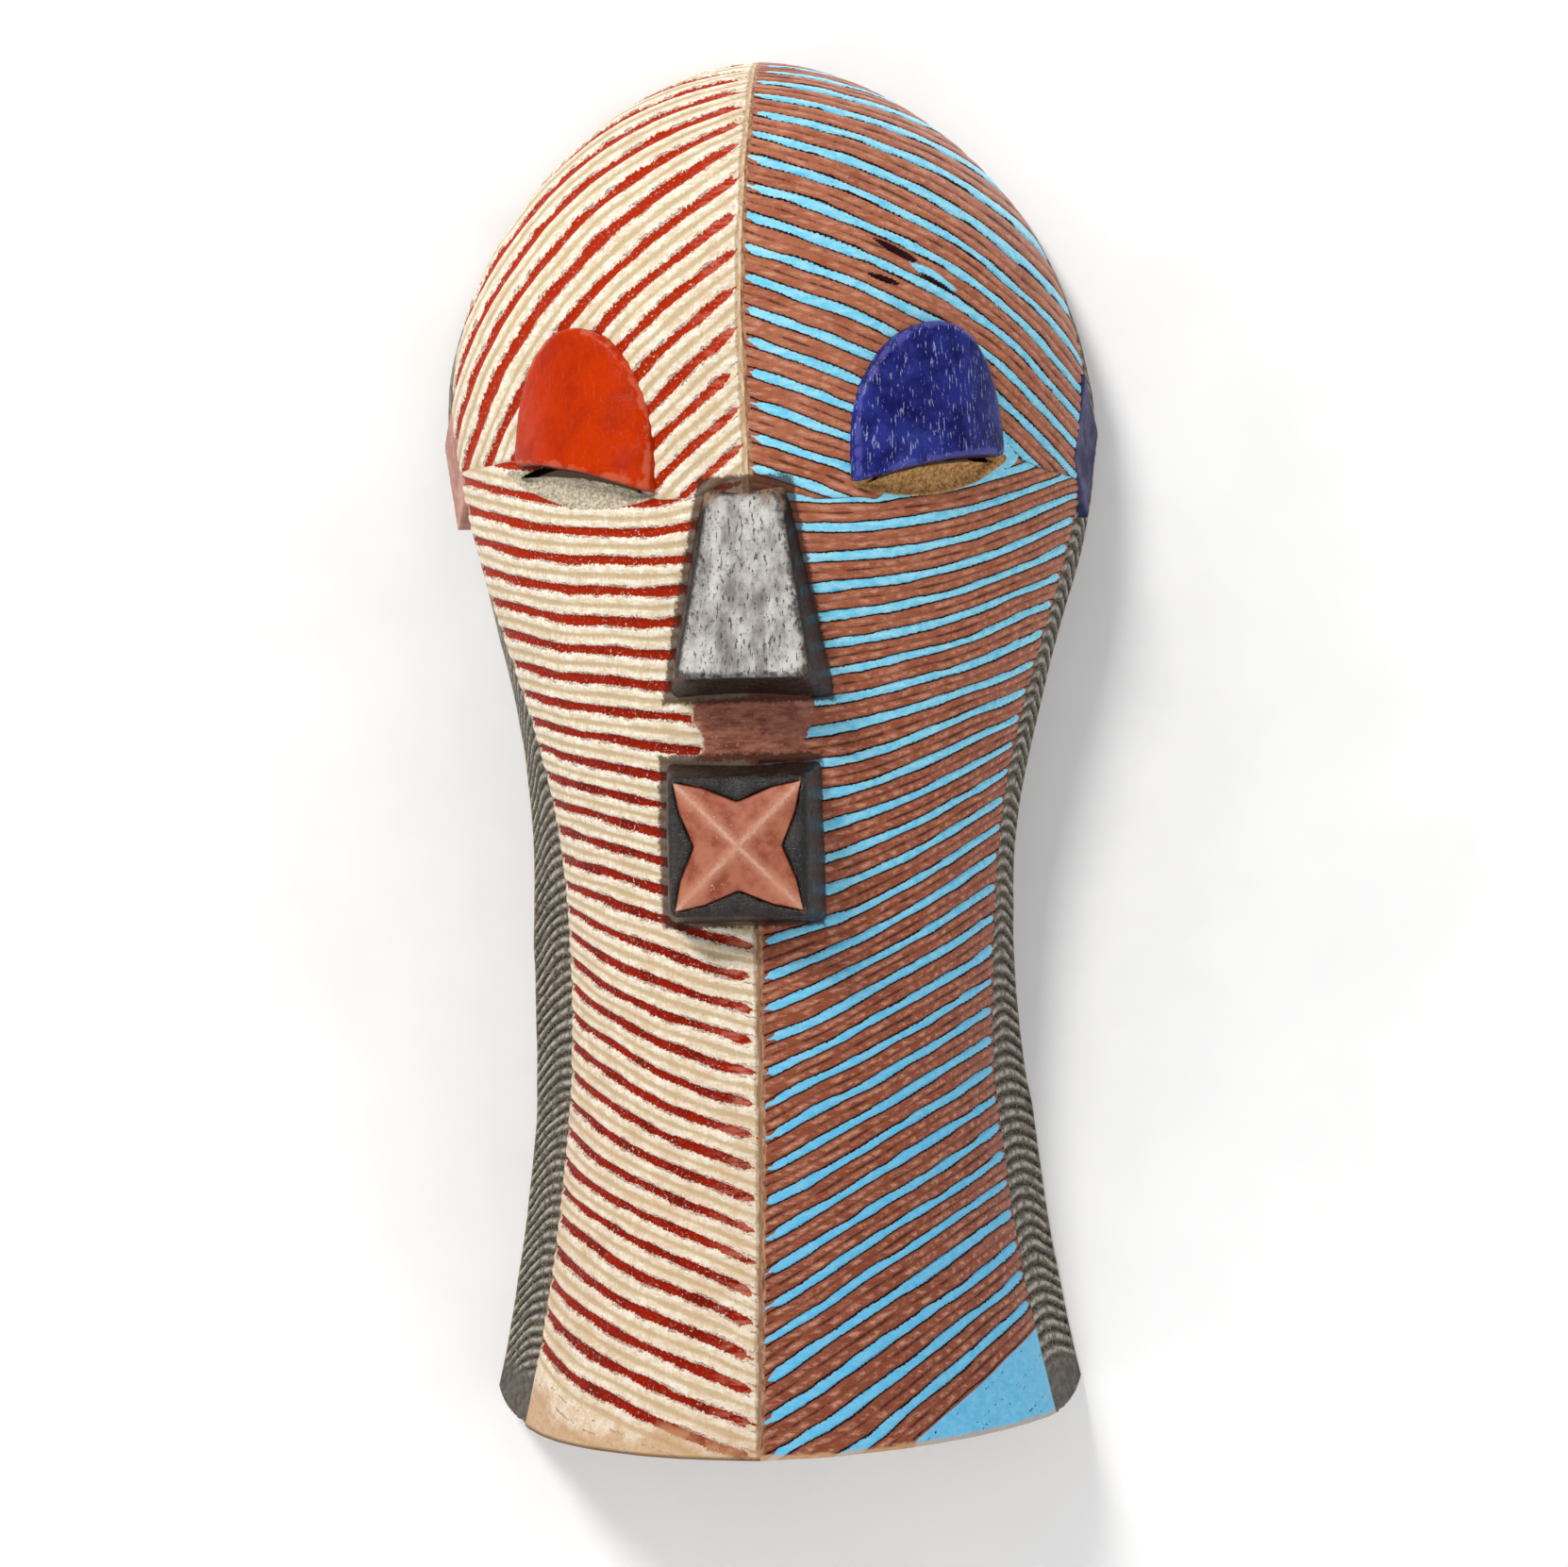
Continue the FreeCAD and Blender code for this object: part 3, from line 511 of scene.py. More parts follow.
def rib_field(name, across, heights):
    """Both rib counts, the height above the brow line, and the depth of the ribs, from 0 to 1."""
    side = SIDES[name]
    ribs = RIBS[name]
    waver = 0.07 * wander(across, heights, 16.0, 11 + side)
    waver = waver + 0.018 * wander(0.6 * across, heights, 5.0, 21 + side)
    low_count = cheek_count(across, heights, ribs) + waver
    high_count = brow_count(across, heights, ribs) + waver
    above = heights - np.interp(across, *ribs["boundary"]) + 0.8 * wander(across, heights, 8.0, 31)
    brow = smooth(0.5 + above / 1.2)
    relief = rib_relief(low_count, name) * (1.0 - brow) + rib_relief(high_count, name) * brow
    relief = np.maximum(relief, 0.9 * np.maximum(1.0 - np.abs(above) / 0.9, 0.0))
    plain_chin = smooth((0.35 - low_count) / 0.3) * (1.0 - brow)
    return low_count, high_count, above, relief, plain_chin


def rubbed_bridge(across, heights, from_keel):
    """1 on the rubbed wood between the nose and the mouth, fading to 0 around it."""
    bridge = 1.0 - smooth((np.abs(heights - BRIDGE_HEIGHT) - BRIDGE_HALF) / 3.0)
    reach = from_keel + 3.0 * wander(across, heights, 7.0, 45)
    return bridge * (1.0 - smooth((reach - BRIDGE_REACH) / 3.0))


def carved_face(name):
    side = SIDES[name]
    heights = row_heights(MASK_HEIGHT)[:, None]
    turns = np.linspace(0.0, QUARTER, FACE_COLUMNS)[None, :]
    heights, turns = np.broadcast_arrays(heights, turns)
    points = face_point(heights, turns, side)
    normals = outward(points, side)
    from_keel = run_from_start(points)
    from_edge = from_keel[:, -1:] - from_keel
    across = edge_half(heights) * np.sin(turns)
    low_count, high_count, above, relief, plain_chin = rib_field(name, across, heights)
    bare = crescent_inside(*slit_place(points[..., 0], heights, side))
    relief = relief * (1.0 - smooth(bare + 0.5)) + CRESCENT_DEPTH * smooth(bare / 2.5)
    gash = np.zeros_like(heights)
    hook = np.zeros_like(heights)
    if name == "right":
        gash = long_marks(GASHES, across, heights)
        hook = long_marks(HOOKS, across, heights)
    bridge = rubbed_bridge(across, heights, from_keel)
    relief = relief * (1.0 - plain_chin)
    relief = relief * (1.0 - 0.55 * bridge) * (1.0 - smooth(hook * 3.0))
    fade = smooth(from_keel / 2.0 - 0.2) * smooth(from_edge / 1.6) * smooth(heights / 1.6)
    depth = RIB_DEPTH + 0.2 * wander(across, heights, 22.0, 41 + side)
    bent = across + 1.5 * wander(across, heights, 4.0, 50)
    uneven = 0.06 * wander(0.35 * bent, heights, 2.6, 51 + side) + 0.05 * wander(bent, heights, 1.1, 52)
    sunk = (relief * depth + uneven) * fade + GASH_DEPTH * smooth(gash)
    carved, solid = cut_slit(hand_carved(points - normals * sunk[..., None]), heights, side)
    marks = {
        "low_count": low_count,
        "high_count": high_count,
        "above": above,
        "from_keel": from_keel,
        "from_edge": from_edge,
        "height": heights,
        "across": across,
        "groove": relief * fade,
        "bare": bare,
        "bridge": bridge,
        "seat": seat_distance(points[..., 0], heights),
        "gash": gash,
        "hook": hook,
    }
    faces = grid_faces(*heights.shape, side)[solid]
    return mesh_object("face_" + name, carved, faces, marks, mend=0.01)


def side_band(name):
    """The sloping ribbed band between the edge of the face and the back rim."""
    side = SIDES[name]
    heights = row_heights(MASK_HEIGHT)[:, None]
    share = np.linspace(0.0, 1.0, BAND_COLUMNS)[None, :]
    edge = face_point(heights[:, 0], QUARTER, side)[:, None, :]
    rim = rim_point(heights[:, 0], side)[:, None, :]
    points = edge + (rim - edge) * share[..., None]
    heights, share = np.broadcast_arrays(heights, share)
    normals = outward(points, side)
    out = run_from_start(points)
    width = out[:, -1:]
    rise, pitch = BAND_RIBS[name]
    bow = BAND_BOW * np.sin(math.pi * share)
    count = (heights - rise * share - bow) / pitch
    count = count + 0.16 * wander(out, heights, 14.0, 61 + side) + 0.06 * wander(out, heights, 3.0, 63)
    rib = groove(count, 0.5, 0.36) ** 1.1
    fade = smooth(0.3 + out / 1.5) * smooth(0.3 + (width - out) / 1.2) * smooth(heights / 2.0)
    ribbed = smooth((heights - BAND_PLAIN) / 5.0)
    rib = rib * (0.12 + 0.88 * ribbed)
    depth = np.minimum(BAND_RIB_DEPTH, 0.09 * width)
    carved = hand_carved(points - normals * (depth * rib * fade)[..., None])
    marks = {"groove": rib * fade, "plain": 1.0 - ribbed}
    faces = grid_faces(*heights.shape, side)
    return mesh_object("band_" + name, carved, faces, marks, mend=0.01)


def back_and_hollow():
    """The flat back rim and the hollow inside it, in one sheet from rim to rim."""
    outer = row_heights(MASK_HEIGHT)
    inner = row_heights(MASK_HEIGHT - CROWN_WALL)
    inner = np.interp(np.linspace(0.0, 1.0, len(outer)), np.linspace(0.0, 1.0, len(inner)), inner)
    turns = np.linspace(QUARTER, 0.0, HOLLOW_COLUMNS)[None, :]
    halves = []
    for side in (-1, 1):
        rim = rim_point(outer, side)[:, None, :]
        lip = hollow_point(inner, QUARTER, side)[:, None, :]
        share = np.linspace(0.0, 1.0, RIM_COLUMNS, endpoint=False)[None, :, None]
        flat = rim + (lip - rim) * share
        halves.append(np.concatenate([flat, hollow_point(inner[:, None], turns, side)], axis=1))
    points = np.concatenate([halves[0], halves[1][:, -2::-1]], axis=1)
    normals = outward(points, -1)
    normals[-1] = (0.0, 1.0, 0.0)
    facets = np.abs(noise(points * (1.0, 1.0, 0.5), 13.0, 71)) + 0.4 * np.abs(noise(points, 6.0, 72))
    inside = smooth(-points[..., 1] / 6.0)
    carved = hand_carved(points - normals * (FACET_DEPTH * facets * inside)[..., None])
    for half_width, bottom, top, depth in HANGER_SEATS:
        in_box = np.minimum(half_width - np.abs(points[..., 0]), points[..., 2] - bottom)
        in_box = np.minimum(in_box, top - points[..., 2])
        carved[..., 1] = np.minimum(carved[..., 1], -depth * smooth(0.5 + in_box / 0.8))
    solid = np.ones(np.array(points.shape[:2]) - 1, bool)
    for side in SIDES.values():
        carved, open_there = cut_slit(carved, carved[..., 2] + MASK_HEIGHT - HANG_DROP, side)
        solid &= open_there
    faces = grid_faces(*points.shape[:2], -1)[solid]
    return mesh_object("hollow", carved, faces, mend=0.01)


def turn_at(surface, x, height, side):
    """The turn at which a surface passes a given x."""

    def short(turn):
        return side * surface(height, turn, side)[..., 0] < side * x

    return halved(np.zeros_like(x), np.full_like(x, QUARTER), 30, short)


def slit_wall(name):
    """The cut wood inside one sight slit, from the face through to the hollow."""
    side = SIDES[name]
    arcs = []
    for rise, way in ((SLIT_TOP, 1.0), (SLIT_LOW, -1.0)):
        along = way * SLIT_HALF * np.cos(np.linspace(0.0, math.pi, 60, endpoint=False))
        radius = arc_radius(rise)
        arcs.append((along, rise - radius + np.sqrt(radius**2 - along**2)))
    along, above = np.concatenate(arcs, axis=1)
    along = np.append(along, along[0])
    above = np.append(above, above[0])
    dx = along * math.cos(SLIT_TILT) - above * math.sin(SLIT_TILT)
    height = SLIT_HEIGHT[side] + along * math.sin(SLIT_TILT) + above * math.cos(SLIT_TILT)
    x = side * (EYE_OFFSET + dx) - EYE_DRIFT
    front = face_point(height, turn_at(face_point, x, height, side), side)
    back = hollow_point(height, turn_at(hollow_point, x, height, side), side)
    share = np.linspace(0.0, 1.0, 12)[None, :, None]
    points = front[:, None, :] + (back - front)[:, None, :] * share
    points = points + 0.12 * noise(points * (1.0, 0.3, 1.0), 1.5, 95)[..., None]
    faces = grid_faces(*points.shape[:2], side)
    return mesh_object("slit_wall_" + name, hand_carved(points), faces)


def chin_edge():
    """The sawn end of the wood under the chin, between the outside and the hollow."""
    turns = np.linspace(0.0, QUARTER, FACE_COLUMNS)
    loops = []
    across_band = np.linspace(0.0, 1.0, BAND_COLUMNS)[1:, None]
    for side in (-1, 1):
        face = face_point(0.0, turns, side)
        band = face[-1] + (rim_point(0.0, side) - face[-1]) * across_band
        loops.append(np.concatenate([face, band]))
    outer = np.concatenate([loops[0][::-1], loops[1][1:]])
    inner_turns = np.linspace(-QUARTER, QUARTER, len(outer))
    inner = hollow_point(0.0, np.abs(inner_turns), np.sign(inner_turns + 1e-12))
    share = np.linspace(0.0, 1.0, 14)[None, :, None]
    points = outer[:, None, :] + (inner - outer)[:, None, :] * share
    sawn = 0.25 * noise(points * (1.0, 3.0, 1.0), 3.0, 81)
    inset = smooth(np.minimum(share, 1.0 - share)[..., 0] * 6.0)
    points[..., 2] += sawn * inset
    faces = grid_faces(*points.shape[:2], -1)
    return mesh_object("chin_edge", hand_carved(points), faces)


def neighbours_mean(values, edges, number):
    total = np.zeros((number, values.shape[1]))
    links = np.zeros((number, 1))
    for start, end in ((0, 1), (1, 0)):
        np.add.at(total, edges[:, start], values[edges[:, end]])
        np.add.at(links, edges[:, start], 1.0)
    return total / np.maximum(links, 1.0)


def read_points(mesh, field="co"):
    """The points of a mesh in its own units, or another field of three numbers per point."""
    values = np.empty(len(mesh.vertices) * 3, np.float32)
    mesh.vertices.foreach_get(field, values)
    return values.reshape(-1, 3)


def write_points(mesh, points):
    mesh.vertices.foreach_set("co", (points * MM).astype(np.float32).ravel())
    mesh.update()


def worn_copy(name, node, cell, rounds, dent):
    """A CAD piece drawn finely again, its edges worn round and its faces slightly uneven."""
    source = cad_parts[node]
    piece = add_object(name, source.data.copy())
    piece.data.materials.clear()
    remesh = piece.modifiers.new("remesh", "REMESH")
    remesh.mode = "VOXEL"
    remesh.voxel_size = cell * MM
    bake_modifiers(piece)
    mesh = piece.data
    number = len(mesh.vertices)
    points = read_points(mesh).astype(float) / MM
    edges = np.empty(len(mesh.edges) * 2, np.int32)
    mesh.edges.foreach_get("vertices", edges)
    edges = edges.reshape(-1, 2)
    sharp = points
    for _ in range(rounds):
        points = 0.5 * points + 0.5 * neighbours_mean(points, edges, number)
    lost = np.linalg.norm(points - sharp, axis=1, keepdims=True)
    for _ in range(4):
        lost = neighbours_mean(lost, edges, number)
    write_points(mesh, points)
    normals = read_points(mesh, "normal")
    uneven = dent * (noise(points, 7.0, 91) + 0.5 * noise(points, 2.6, 92))
    write_points(mesh, points + normals * uneven[:, None])
    add_marks(mesh, {"edge": np.clip(lost[:, 0] / (0.5 * cell), 0.0, 1.0), "facing": -normals[:, 1]})
    return piece


# Materials


def rgb(red, green, blue):
    """A colour given as it looks on a screen, 0 to 255, as the linear one that shaders use."""
    parts = [channel / 255.0 for channel in (red, green, blue)]
    linear = [part / 12.92 if part <= 0.04045 else ((part + 0.055) / 1.055) ** 2.4 for part in parts]
    return (*linear, 1.0)


class Value:
    """What one node of a material gives: a number, a colour or a direction at each place."""

    def __init__(self, finish, socket):
        self.finish = finish
        self.socket = socket

    def __add__(self, other):
        return self.finish.math("ADD", self, other)

    def __sub__(self, other):
        return self.finish.math("SUBTRACT", self, other)

    def __rsub__(self, other):
        return self.finish.math("SUBTRACT", other, self)

    def __mul__(self, other):
        return self.finish.math("MULTIPLY", self, other)

    def ramp(self, low, high, start=0.0, end=1.0):
        """`start` below `low`, `end` above `high`, and a smooth change between them."""
        inputs = {"Value": self, "From Min": low, "From Max": high, "To Min": start, "To Max": end}
        return self.finish.node("ShaderNodeMapRange", 0, inputs, interpolation_type="SMOOTHSTEP")

    def coated(self, share, *colour):
        """This colour under a share, from 0 to 1, of another one."""
        return self.finish.mix(share, self, rgb(*colour))

    def shaken(self, noise, amount):
        """This number made uneven by some noise, up to `amount` either way."""
        return self + noise.ramp(0.3, 0.7, -amount, amount)


class Finish:
    """A procedural material. Most methods add one node and give what comes out of it."""

    def __init__(self, name):
        self.material = bpy.data.materials.new(name)
        self.material.use_nodes = True
        self.tree = self.material.node_tree
        self.shader = self.tree.nodes["Principled BSDF"]
        self.here = self.node("ShaderNodeTexCoord", "Object")

    def node(self, kind, output, inputs=None, **settings):
        added = self.tree.nodes.new(kind)
        for setting, value in settings.items():
            setattr(added, setting, value)
        for name, value in (inputs or {}).items():
            self.feed(added.inputs[name], value)
        return Value(self, added.outputs[output])

    def feed(self, socket, value):
        if isinstance(value, Value):
            self.tree.links.new(value.socket, socket)
        else:
            socket.default_value = value

    def place(self, axis):
        """One coordinate of the row frame in millimetres: X, Y or Z."""
        return self.math("DIVIDE", self.node("ShaderNodeSeparateXYZ", axis, {0: self.here}), MM)

    def mark(self, name):
        return self.node("ShaderNodeAttribute", "Fac", attribute_name=name)

    def math(self, operation, first, second=0.0):
        return self.node("ShaderNodeMath", 0, {0: first, 1: second}, operation=operation)

    def noise(self, size, detail=3.0, rough=0.6, x=1.0, y=1.0, z=1.0):
        """Noise from 0 to 1, its features about `size` millimetres, divided by x, y and z."""
        where = self.here
        if (x, y, z) != (1.0, 1.0, 1.0):
            where = self.node("ShaderNodeMapping", 0, {"Vector": where, "Scale": (x, y, z)})
        inputs = {"Vector": where, "Scale": 1.0 / (size * MM), "Detail": detail, "Roughness": rough}
        return self.node("ShaderNodeTexNoise", "Fac", inputs)

    def mix(self, share, first, second):
        return self.node("ShaderNodeMix", 2, {0: share, 6: first, 7: second}, data_type="RGBA")

    def blend(self, share, first, second):
        return self.node("ShaderNodeMix", 0, {0: share, 2: first, 3: second})

    def bump(self, height, depth):
        """Fine relief of up to `depth` millimetres."""
        inputs = {"Height": height, "Distance": depth * MM, "Strength": 1.0}
        return self.node("ShaderNodeBump", "Normal", inputs)

    def done(self, colour, rough, normal, sheen=0.12, **sockets):
        inputs = {"Base Color": colour, "Roughness": rough, "Normal": normal, "Specular IOR Level": sheen}
        for name, value in (inputs | sockets).items():
            self.feed(self.shader.inputs[name.replace("_", " ")], value)
        return self.material


def rib_number(finish):
    """The rib count at a place: the forehead's above the boundary and the cheeks' below it."""
    above = finish.mark("above").ramp(-0.1, 0.1)
    return finish.blend(above, finish.mark("low_count"), finish.mark("high_count"))


def stripe_mask(finish, half, ragged, keel_gap, edge_gap):
    """1 on a painted stripe, with uneven edges and ends, and how far from its middle a place is."""
    count = rib_number(finish)
    fine = finish.noise(1.0, 4.0, 0.75, z=0.45)
    off = finish.math("PINGPONG", count, 0.5) + fine.ramp(0.25, 0.75, -ragged, ragged)
    off = off.shaken(finish.noise(13.0, 1.0), 0.03)
    keel = finish.mark("from_keel").shaken(finish.noise(5.0, 2.0), 1.6)
    edge = finish.mark("from_edge") + fine.ramp(0.2, 0.8, -0.8, 0.8)
    ends = keel.ramp(keel_gap, keel_gap + 5.0) * edge.ramp(edge_gap, edge_gap + 3.0)
    shown = finish.blend(ends, 0.0, half)
    on = finish.math("GREATER_THAN", shown - off, 0.0)
    first = finish.mark("low_count").ramp(0.55, 0.6)
    on = on * finish.math("MAXIMUM", first, finish.mark("above").ramp(-0.5, 0.5))
    bridge = finish.mark("bridge").shaken(fine, 0.3)
    return on * bridge.ramp(0.35, 0.5, 1.0, 0.0), off


def worn_middle(finish, colour, streak):
    """Rubbed pinkish brown between the nose and the mouth, and a dark joint line with painted shade close
    around both.
    """
    fine = finish.noise(1.4, 4.0, 0.7)
    share = finish.mark("bridge").shaken(fine, 0.35)
    rubbed = finish.mix(streak.ramp(0.3, 0.7), rgb(120, 66, 52), rgb(176, 116, 96))
    rubbed = rubbed.coated(fine.ramp(0.6, 0.7, 0.0, 0.6), 206, 170, 148)
    colour = finish.mix(share.ramp(0.15, 0.85), colour, rubbed)
    # dark joint line and painted shade: darker brown close around the nose and the mouth
    seat = finish.mark("seat").shaken(fine, 0.6)
    return colour.coated(seat.ramp(0.0, 1.1, 0.85, 0.0), 66, 38, 26)


def bare_crescent(finish, colour, dark, light):
    """Unpainted wood in the crescent under the sight slit."""
    wood = finish.mix(finish.noise(1.1, 4.0, 0.7).ramp(0.35, 0.65), dark, light)
    return finish.mix(finish.mark("bare").ramp(-0.2, 0.4), colour, wood)


def paint_relief(finish, stripe, thickness, upright):
    """Brush marks and grain, with the stripes standing a little higher."""
    return stripe * thickness + (upright + finish.noise(0.8, 4.0, 0.75))


def cream_paint(finish, off, broad, upright, streak):
    """Cream, with painted shade in the valleys, a painted highlight on the ridges, and warmer towards the
    chin.
    """
    tone = finish.blend(0.5, upright, streak)
    cream = finish.mix(tone.ramp(0.36, 0.64), rgb(226, 204, 172), rgb(250, 240, 218))
    cream = cream.coated(broad.ramp(0.42, 0.68, 0.0, 0.55), 218, 192, 156)
    # painted shade: tan in the shallow valley between the two ridges
    between = off.ramp(0.36, 0.47) * streak.ramp(0.35, 0.55, 0.6, 0.85)
    cream = cream.coated(between, 196, 172, 132)
    # painted highlight: near-white on the tops of the ridges
    ridge = finish.mark("groove").ramp(0.0, 0.2, 1.0, 0.0) * streak.ramp(0.45, 0.6)
    cream = cream.coated(ridge * 0.35, 255, 252, 244)
    flakes = off.ramp(0.13, 0.17) * off.ramp(0.24, 0.30, 1.0, 0.0)
    flakes = flakes * finish.noise(0.8, 4.0, 0.8).ramp(0.5, 0.56)
    cream = cream.coated(flakes, 255, 254, 250)
    specks = finish.noise(0.9, 3.0, 0.8).ramp(0.62, 0.70, 0.0, 0.8) * off.ramp(0.25, 0.45, 0.35, 1.0)
    cream = cream.coated(specks, 132, 116, 84)
    lower = finish.mark("height").ramp(40.0, 250.0, 0.30, 0.0) * broad.ramp(0.35, 0.6, 0.5, 1.0)
    return cream.coated(lower, 206, 168, 134)


def red_paint(finish, broad, streak):
    """Deep red, more orange on the head, chipped to the ground coat and rubbed by the keel."""
    red = finish.mix(broad.ramp(0.35, 0.7), rgb(150, 26, 0), rgb(116, 16, 0))
    red = red.coated(finish.mark("height").ramp(200.0, 320.0, 0.0, 0.75), 182, 44, 0)
    chips = finish.noise(0.9, 4.0, 0.8).ramp(0.60, 0.65) * broad.ramp(0.42, 0.55, 0.25, 1.0)
    red = red.coated(chips, 240, 222, 200)
    keel_wear = finish.mark("from_keel").ramp(4.0, 20.0, 0.6, 0.0) * streak.ramp(0.42, 0.62)
    return red.coated(keel_wear, 214, 132, 112)


def cream_borders(finish, colour, broad, upright):
    """Bare wood along the keel, dark wood along the edge, and dirt and wear at the chin."""
    height = finish.mark("height")
    keel = finish.mark("from_keel").shaken(upright, 0.4)
    worn = finish.mix(upright.ramp(0.35, 0.65), rgb(190, 152, 112), rgb(228, 204, 168))
    worn = worn.coated(height.ramp(150.0, 300.0, 0.75, 0.0), 120, 78, 56)
    colour = colour.coated(keel.ramp(1.5, 2.1, 0.5, 0.0), 120, 88, 60)
    colour = finish.mix(keel.ramp(0.8, 1.2, 1.0, 0.0), colour, worn)
    colour = colour.coated(finish.mark("from_edge").ramp(0.2, 1.6, 0.85, 0.0), 96, 72, 50)
    dirt = height.shaken(broad, 5.0) - finish.mark("across").ramp(55.0, 90.0, 0.0, 9.0)
    colour = colour.coated(dirt.ramp(1.0, 9.0, 0.75, 0.0), 196, 154, 112)
    return colour.coated(height.ramp(0.3, 1.4, 0.8, 0.0), 88, 62, 42)


def cream_and_red():
    finish = Finish("cream_and_red_paint")
    stripe, off = stripe_mask(finish, 0.15, 0.05, 1.2, 0.2)
    broad = finish.noise(11.0, 3.0)
    upright = finish.noise(1.5, 4.0, 0.7, z=0.3)
    streak = finish.noise(2.6, 4.0, 0.65, x=0.35, z=1.6)
    cream = cream_paint(finish, off, broad, upright, streak)
    colour = finish.mix(stripe, cream, red_paint(finish, broad, streak))
    # painted shade: a dark line along each edge of the red stripes, on the walls of their valleys
    line = off.ramp(0.15, 0.19) * off.ramp(0.19, 0.24, 1.0, 0.0)
    line = line * finish.noise(4.0, 3.0).ramp(0.46, 0.58)
    colour = colour.coated(line * 0.75, 104, 46, 22)
    colour = cream_borders(finish, colour, broad, upright)
    colour = worn_middle(finish, colour, streak)
    colour = bare_crescent(finish, colour, rgb(152, 140, 122), rgb(222, 210, 186))
    relief = finish.bump(paint_relief(finish, stripe, 0.35, upright), 0.22)
    return finish.done(colour, streak.ramp(0.3, 0.7, 0.42, 0.66), relief, 0.06)


def brown_paint(finish, off, broad, streak):
    """Red-brown, paler on the head, paler on the ridges from wear and a painted highlight, and painted
    shade as a dark line along each rib.
    """
    height = finish.mark("height")
    brown = finish.mix(streak.ramp(0.2, 0.8), rgb(138, 70, 46), rgb(178, 106, 80))
    brown = brown.coated(height.ramp(180.0, 330.0, 0.0, 0.5), 196, 124, 92)
    brown = brown.coated(broad.ramp(0.45, 0.7, 0.0, 0.6), 150, 78, 50)
    brown = brown.coated(height.ramp(20.0, 220.0, 0.45, 0.0), 116, 58, 42)
    # rubbed wear and painted highlight: paler on the tops of the ridges
    ridge = off.ramp(0.24, 0.32) * off.ramp(0.38, 0.46, 1.0, 0.0) * streak.ramp(0.45, 0.65)
    brown = brown.coated(ridge * 0.7, 214, 160, 132)
    # painted shade: a dark line in the fine groove along the middle of each rib
    line = off.ramp(0.468, 0.49) * finish.noise(7.0, 2.0).ramp(0.35, 0.5)
    brown = brown.coated(line * 0.7, 46, 20, 14)
    specks = finish.noise(0.8, 3.0, 0.8).ramp(0.66, 0.72, 0.0, 0.7)
    return brown.coated(specks, 206, 172, 140)


def blue_paint(finish, upright, streak):
    """Sky blue, deeper towards the chin, chipped to a dark ground."""
    blue = finish.mix(streak.ramp(0.3, 0.7), rgb(108, 208, 244), rgb(170, 234, 252))
    blue = blue.coated(upright.ramp(0.58, 0.68, 0.0, 0.6), 176, 236, 252)
    blue = blue.coated(finish.mark("height").ramp(60.0, 260.0, 0.55, 0.0), 70, 168, 222)
    chips = finish.noise(0.8, 4.0, 0.8).ramp(0.64, 0.69, 0.0, 0.85)
    return blue.coated(chips, 34, 64, 92)


def brown_borders(finish, colour, upright, streak):
    """Worn wood along the keel, dark wood along the edge, and bare wood at the chin."""
    keel = finish.mark("from_keel").shaken(streak, 0.5)
    worn = finish.mix(upright.ramp(0.35, 0.65), rgb(118, 72, 52), rgb(190, 150, 114))
    colour = finish.mix(keel.ramp(1.0, 1.5, 0.9, 0.0), colour, worn)
    colour = colour.coated(finish.mark("from_edge").ramp(0.2, 1.2, 0.8, 0.0), 52, 30, 24)
    chin = finish.mark("height").shaken(streak, 0.6)
    return colour.coated(chin.ramp(0.8, 1.8, 0.75, 0.0), 206, 168, 126)


def brown_and_blue():
    finish = Finish("brown_and_blue_paint")
    stripe, off = stripe_mask(finish, 0.15, 0.02, 0.0, 1.8)
    corner = finish.mark("low_count").ramp(0.06, 0.10, 1.0, 0.0) * finish.mark("across").ramp(45.0, 46.0)
    solid_blue = finish.math("MAXIMUM", corner, finish.mark("hook").ramp(0.05, 0.15))
    stripe = finish.math("MAXIMUM", stripe, solid_blue)
    broad = finish.noise(12.0, 3.0)
    upright = finish.noise(1.3, 4.0, 0.7, z=0.35)
    streak = finish.noise(2.6, 4.0, 0.7, x=0.4, z=1.4)
    brown = brown_paint(finish, off, broad, streak)
    colour = finish.mix(stripe, brown, blue_paint(finish, upright, streak))
    ticks = off.ramp(0.11, 0.15) * upright.ramp(0.56, 0.60) * off.ramp(0.17, 0.19, 1.0, 0.0)
    colour = colour.coated(ticks, 30, 24, 34)
    # painted shade: dark lines in the narrow grooves beside each blue stripe
    line = off.ramp(0.14, 0.158) * off.ramp(0.19, 0.215, 1.0, 0.0) * (1.0 - solid_blue)
    line = line * broad.ramp(0.3, 0.5, 0.7, 1.0)
    colour = colour.coated(line, 24, 11, 11)
    # painted shade: darker towards the bottoms of the carved grooves
    colour = colour.coated(finish.mark("groove").ramp(0.5, 0.95, 0.0, 0.7), 34, 16, 14)
    colour = brown_borders(finish, colour, upright, streak)
    colour = worn_middle(finish, colour, streak)
    colour = colour.coated(finish.mark("gash").ramp(0.0, 0.15), 44, 14, 10)
    colour = bare_crescent(finish, colour, rgb(150, 98, 54), rgb(218, 172, 110))
    relief = finish.bump(paint_relief(finish, stripe, 0.6, upright), 0.2)
    return finish.done(colour, streak.ramp(0.3, 0.7, 0.30, 0.55), relief)


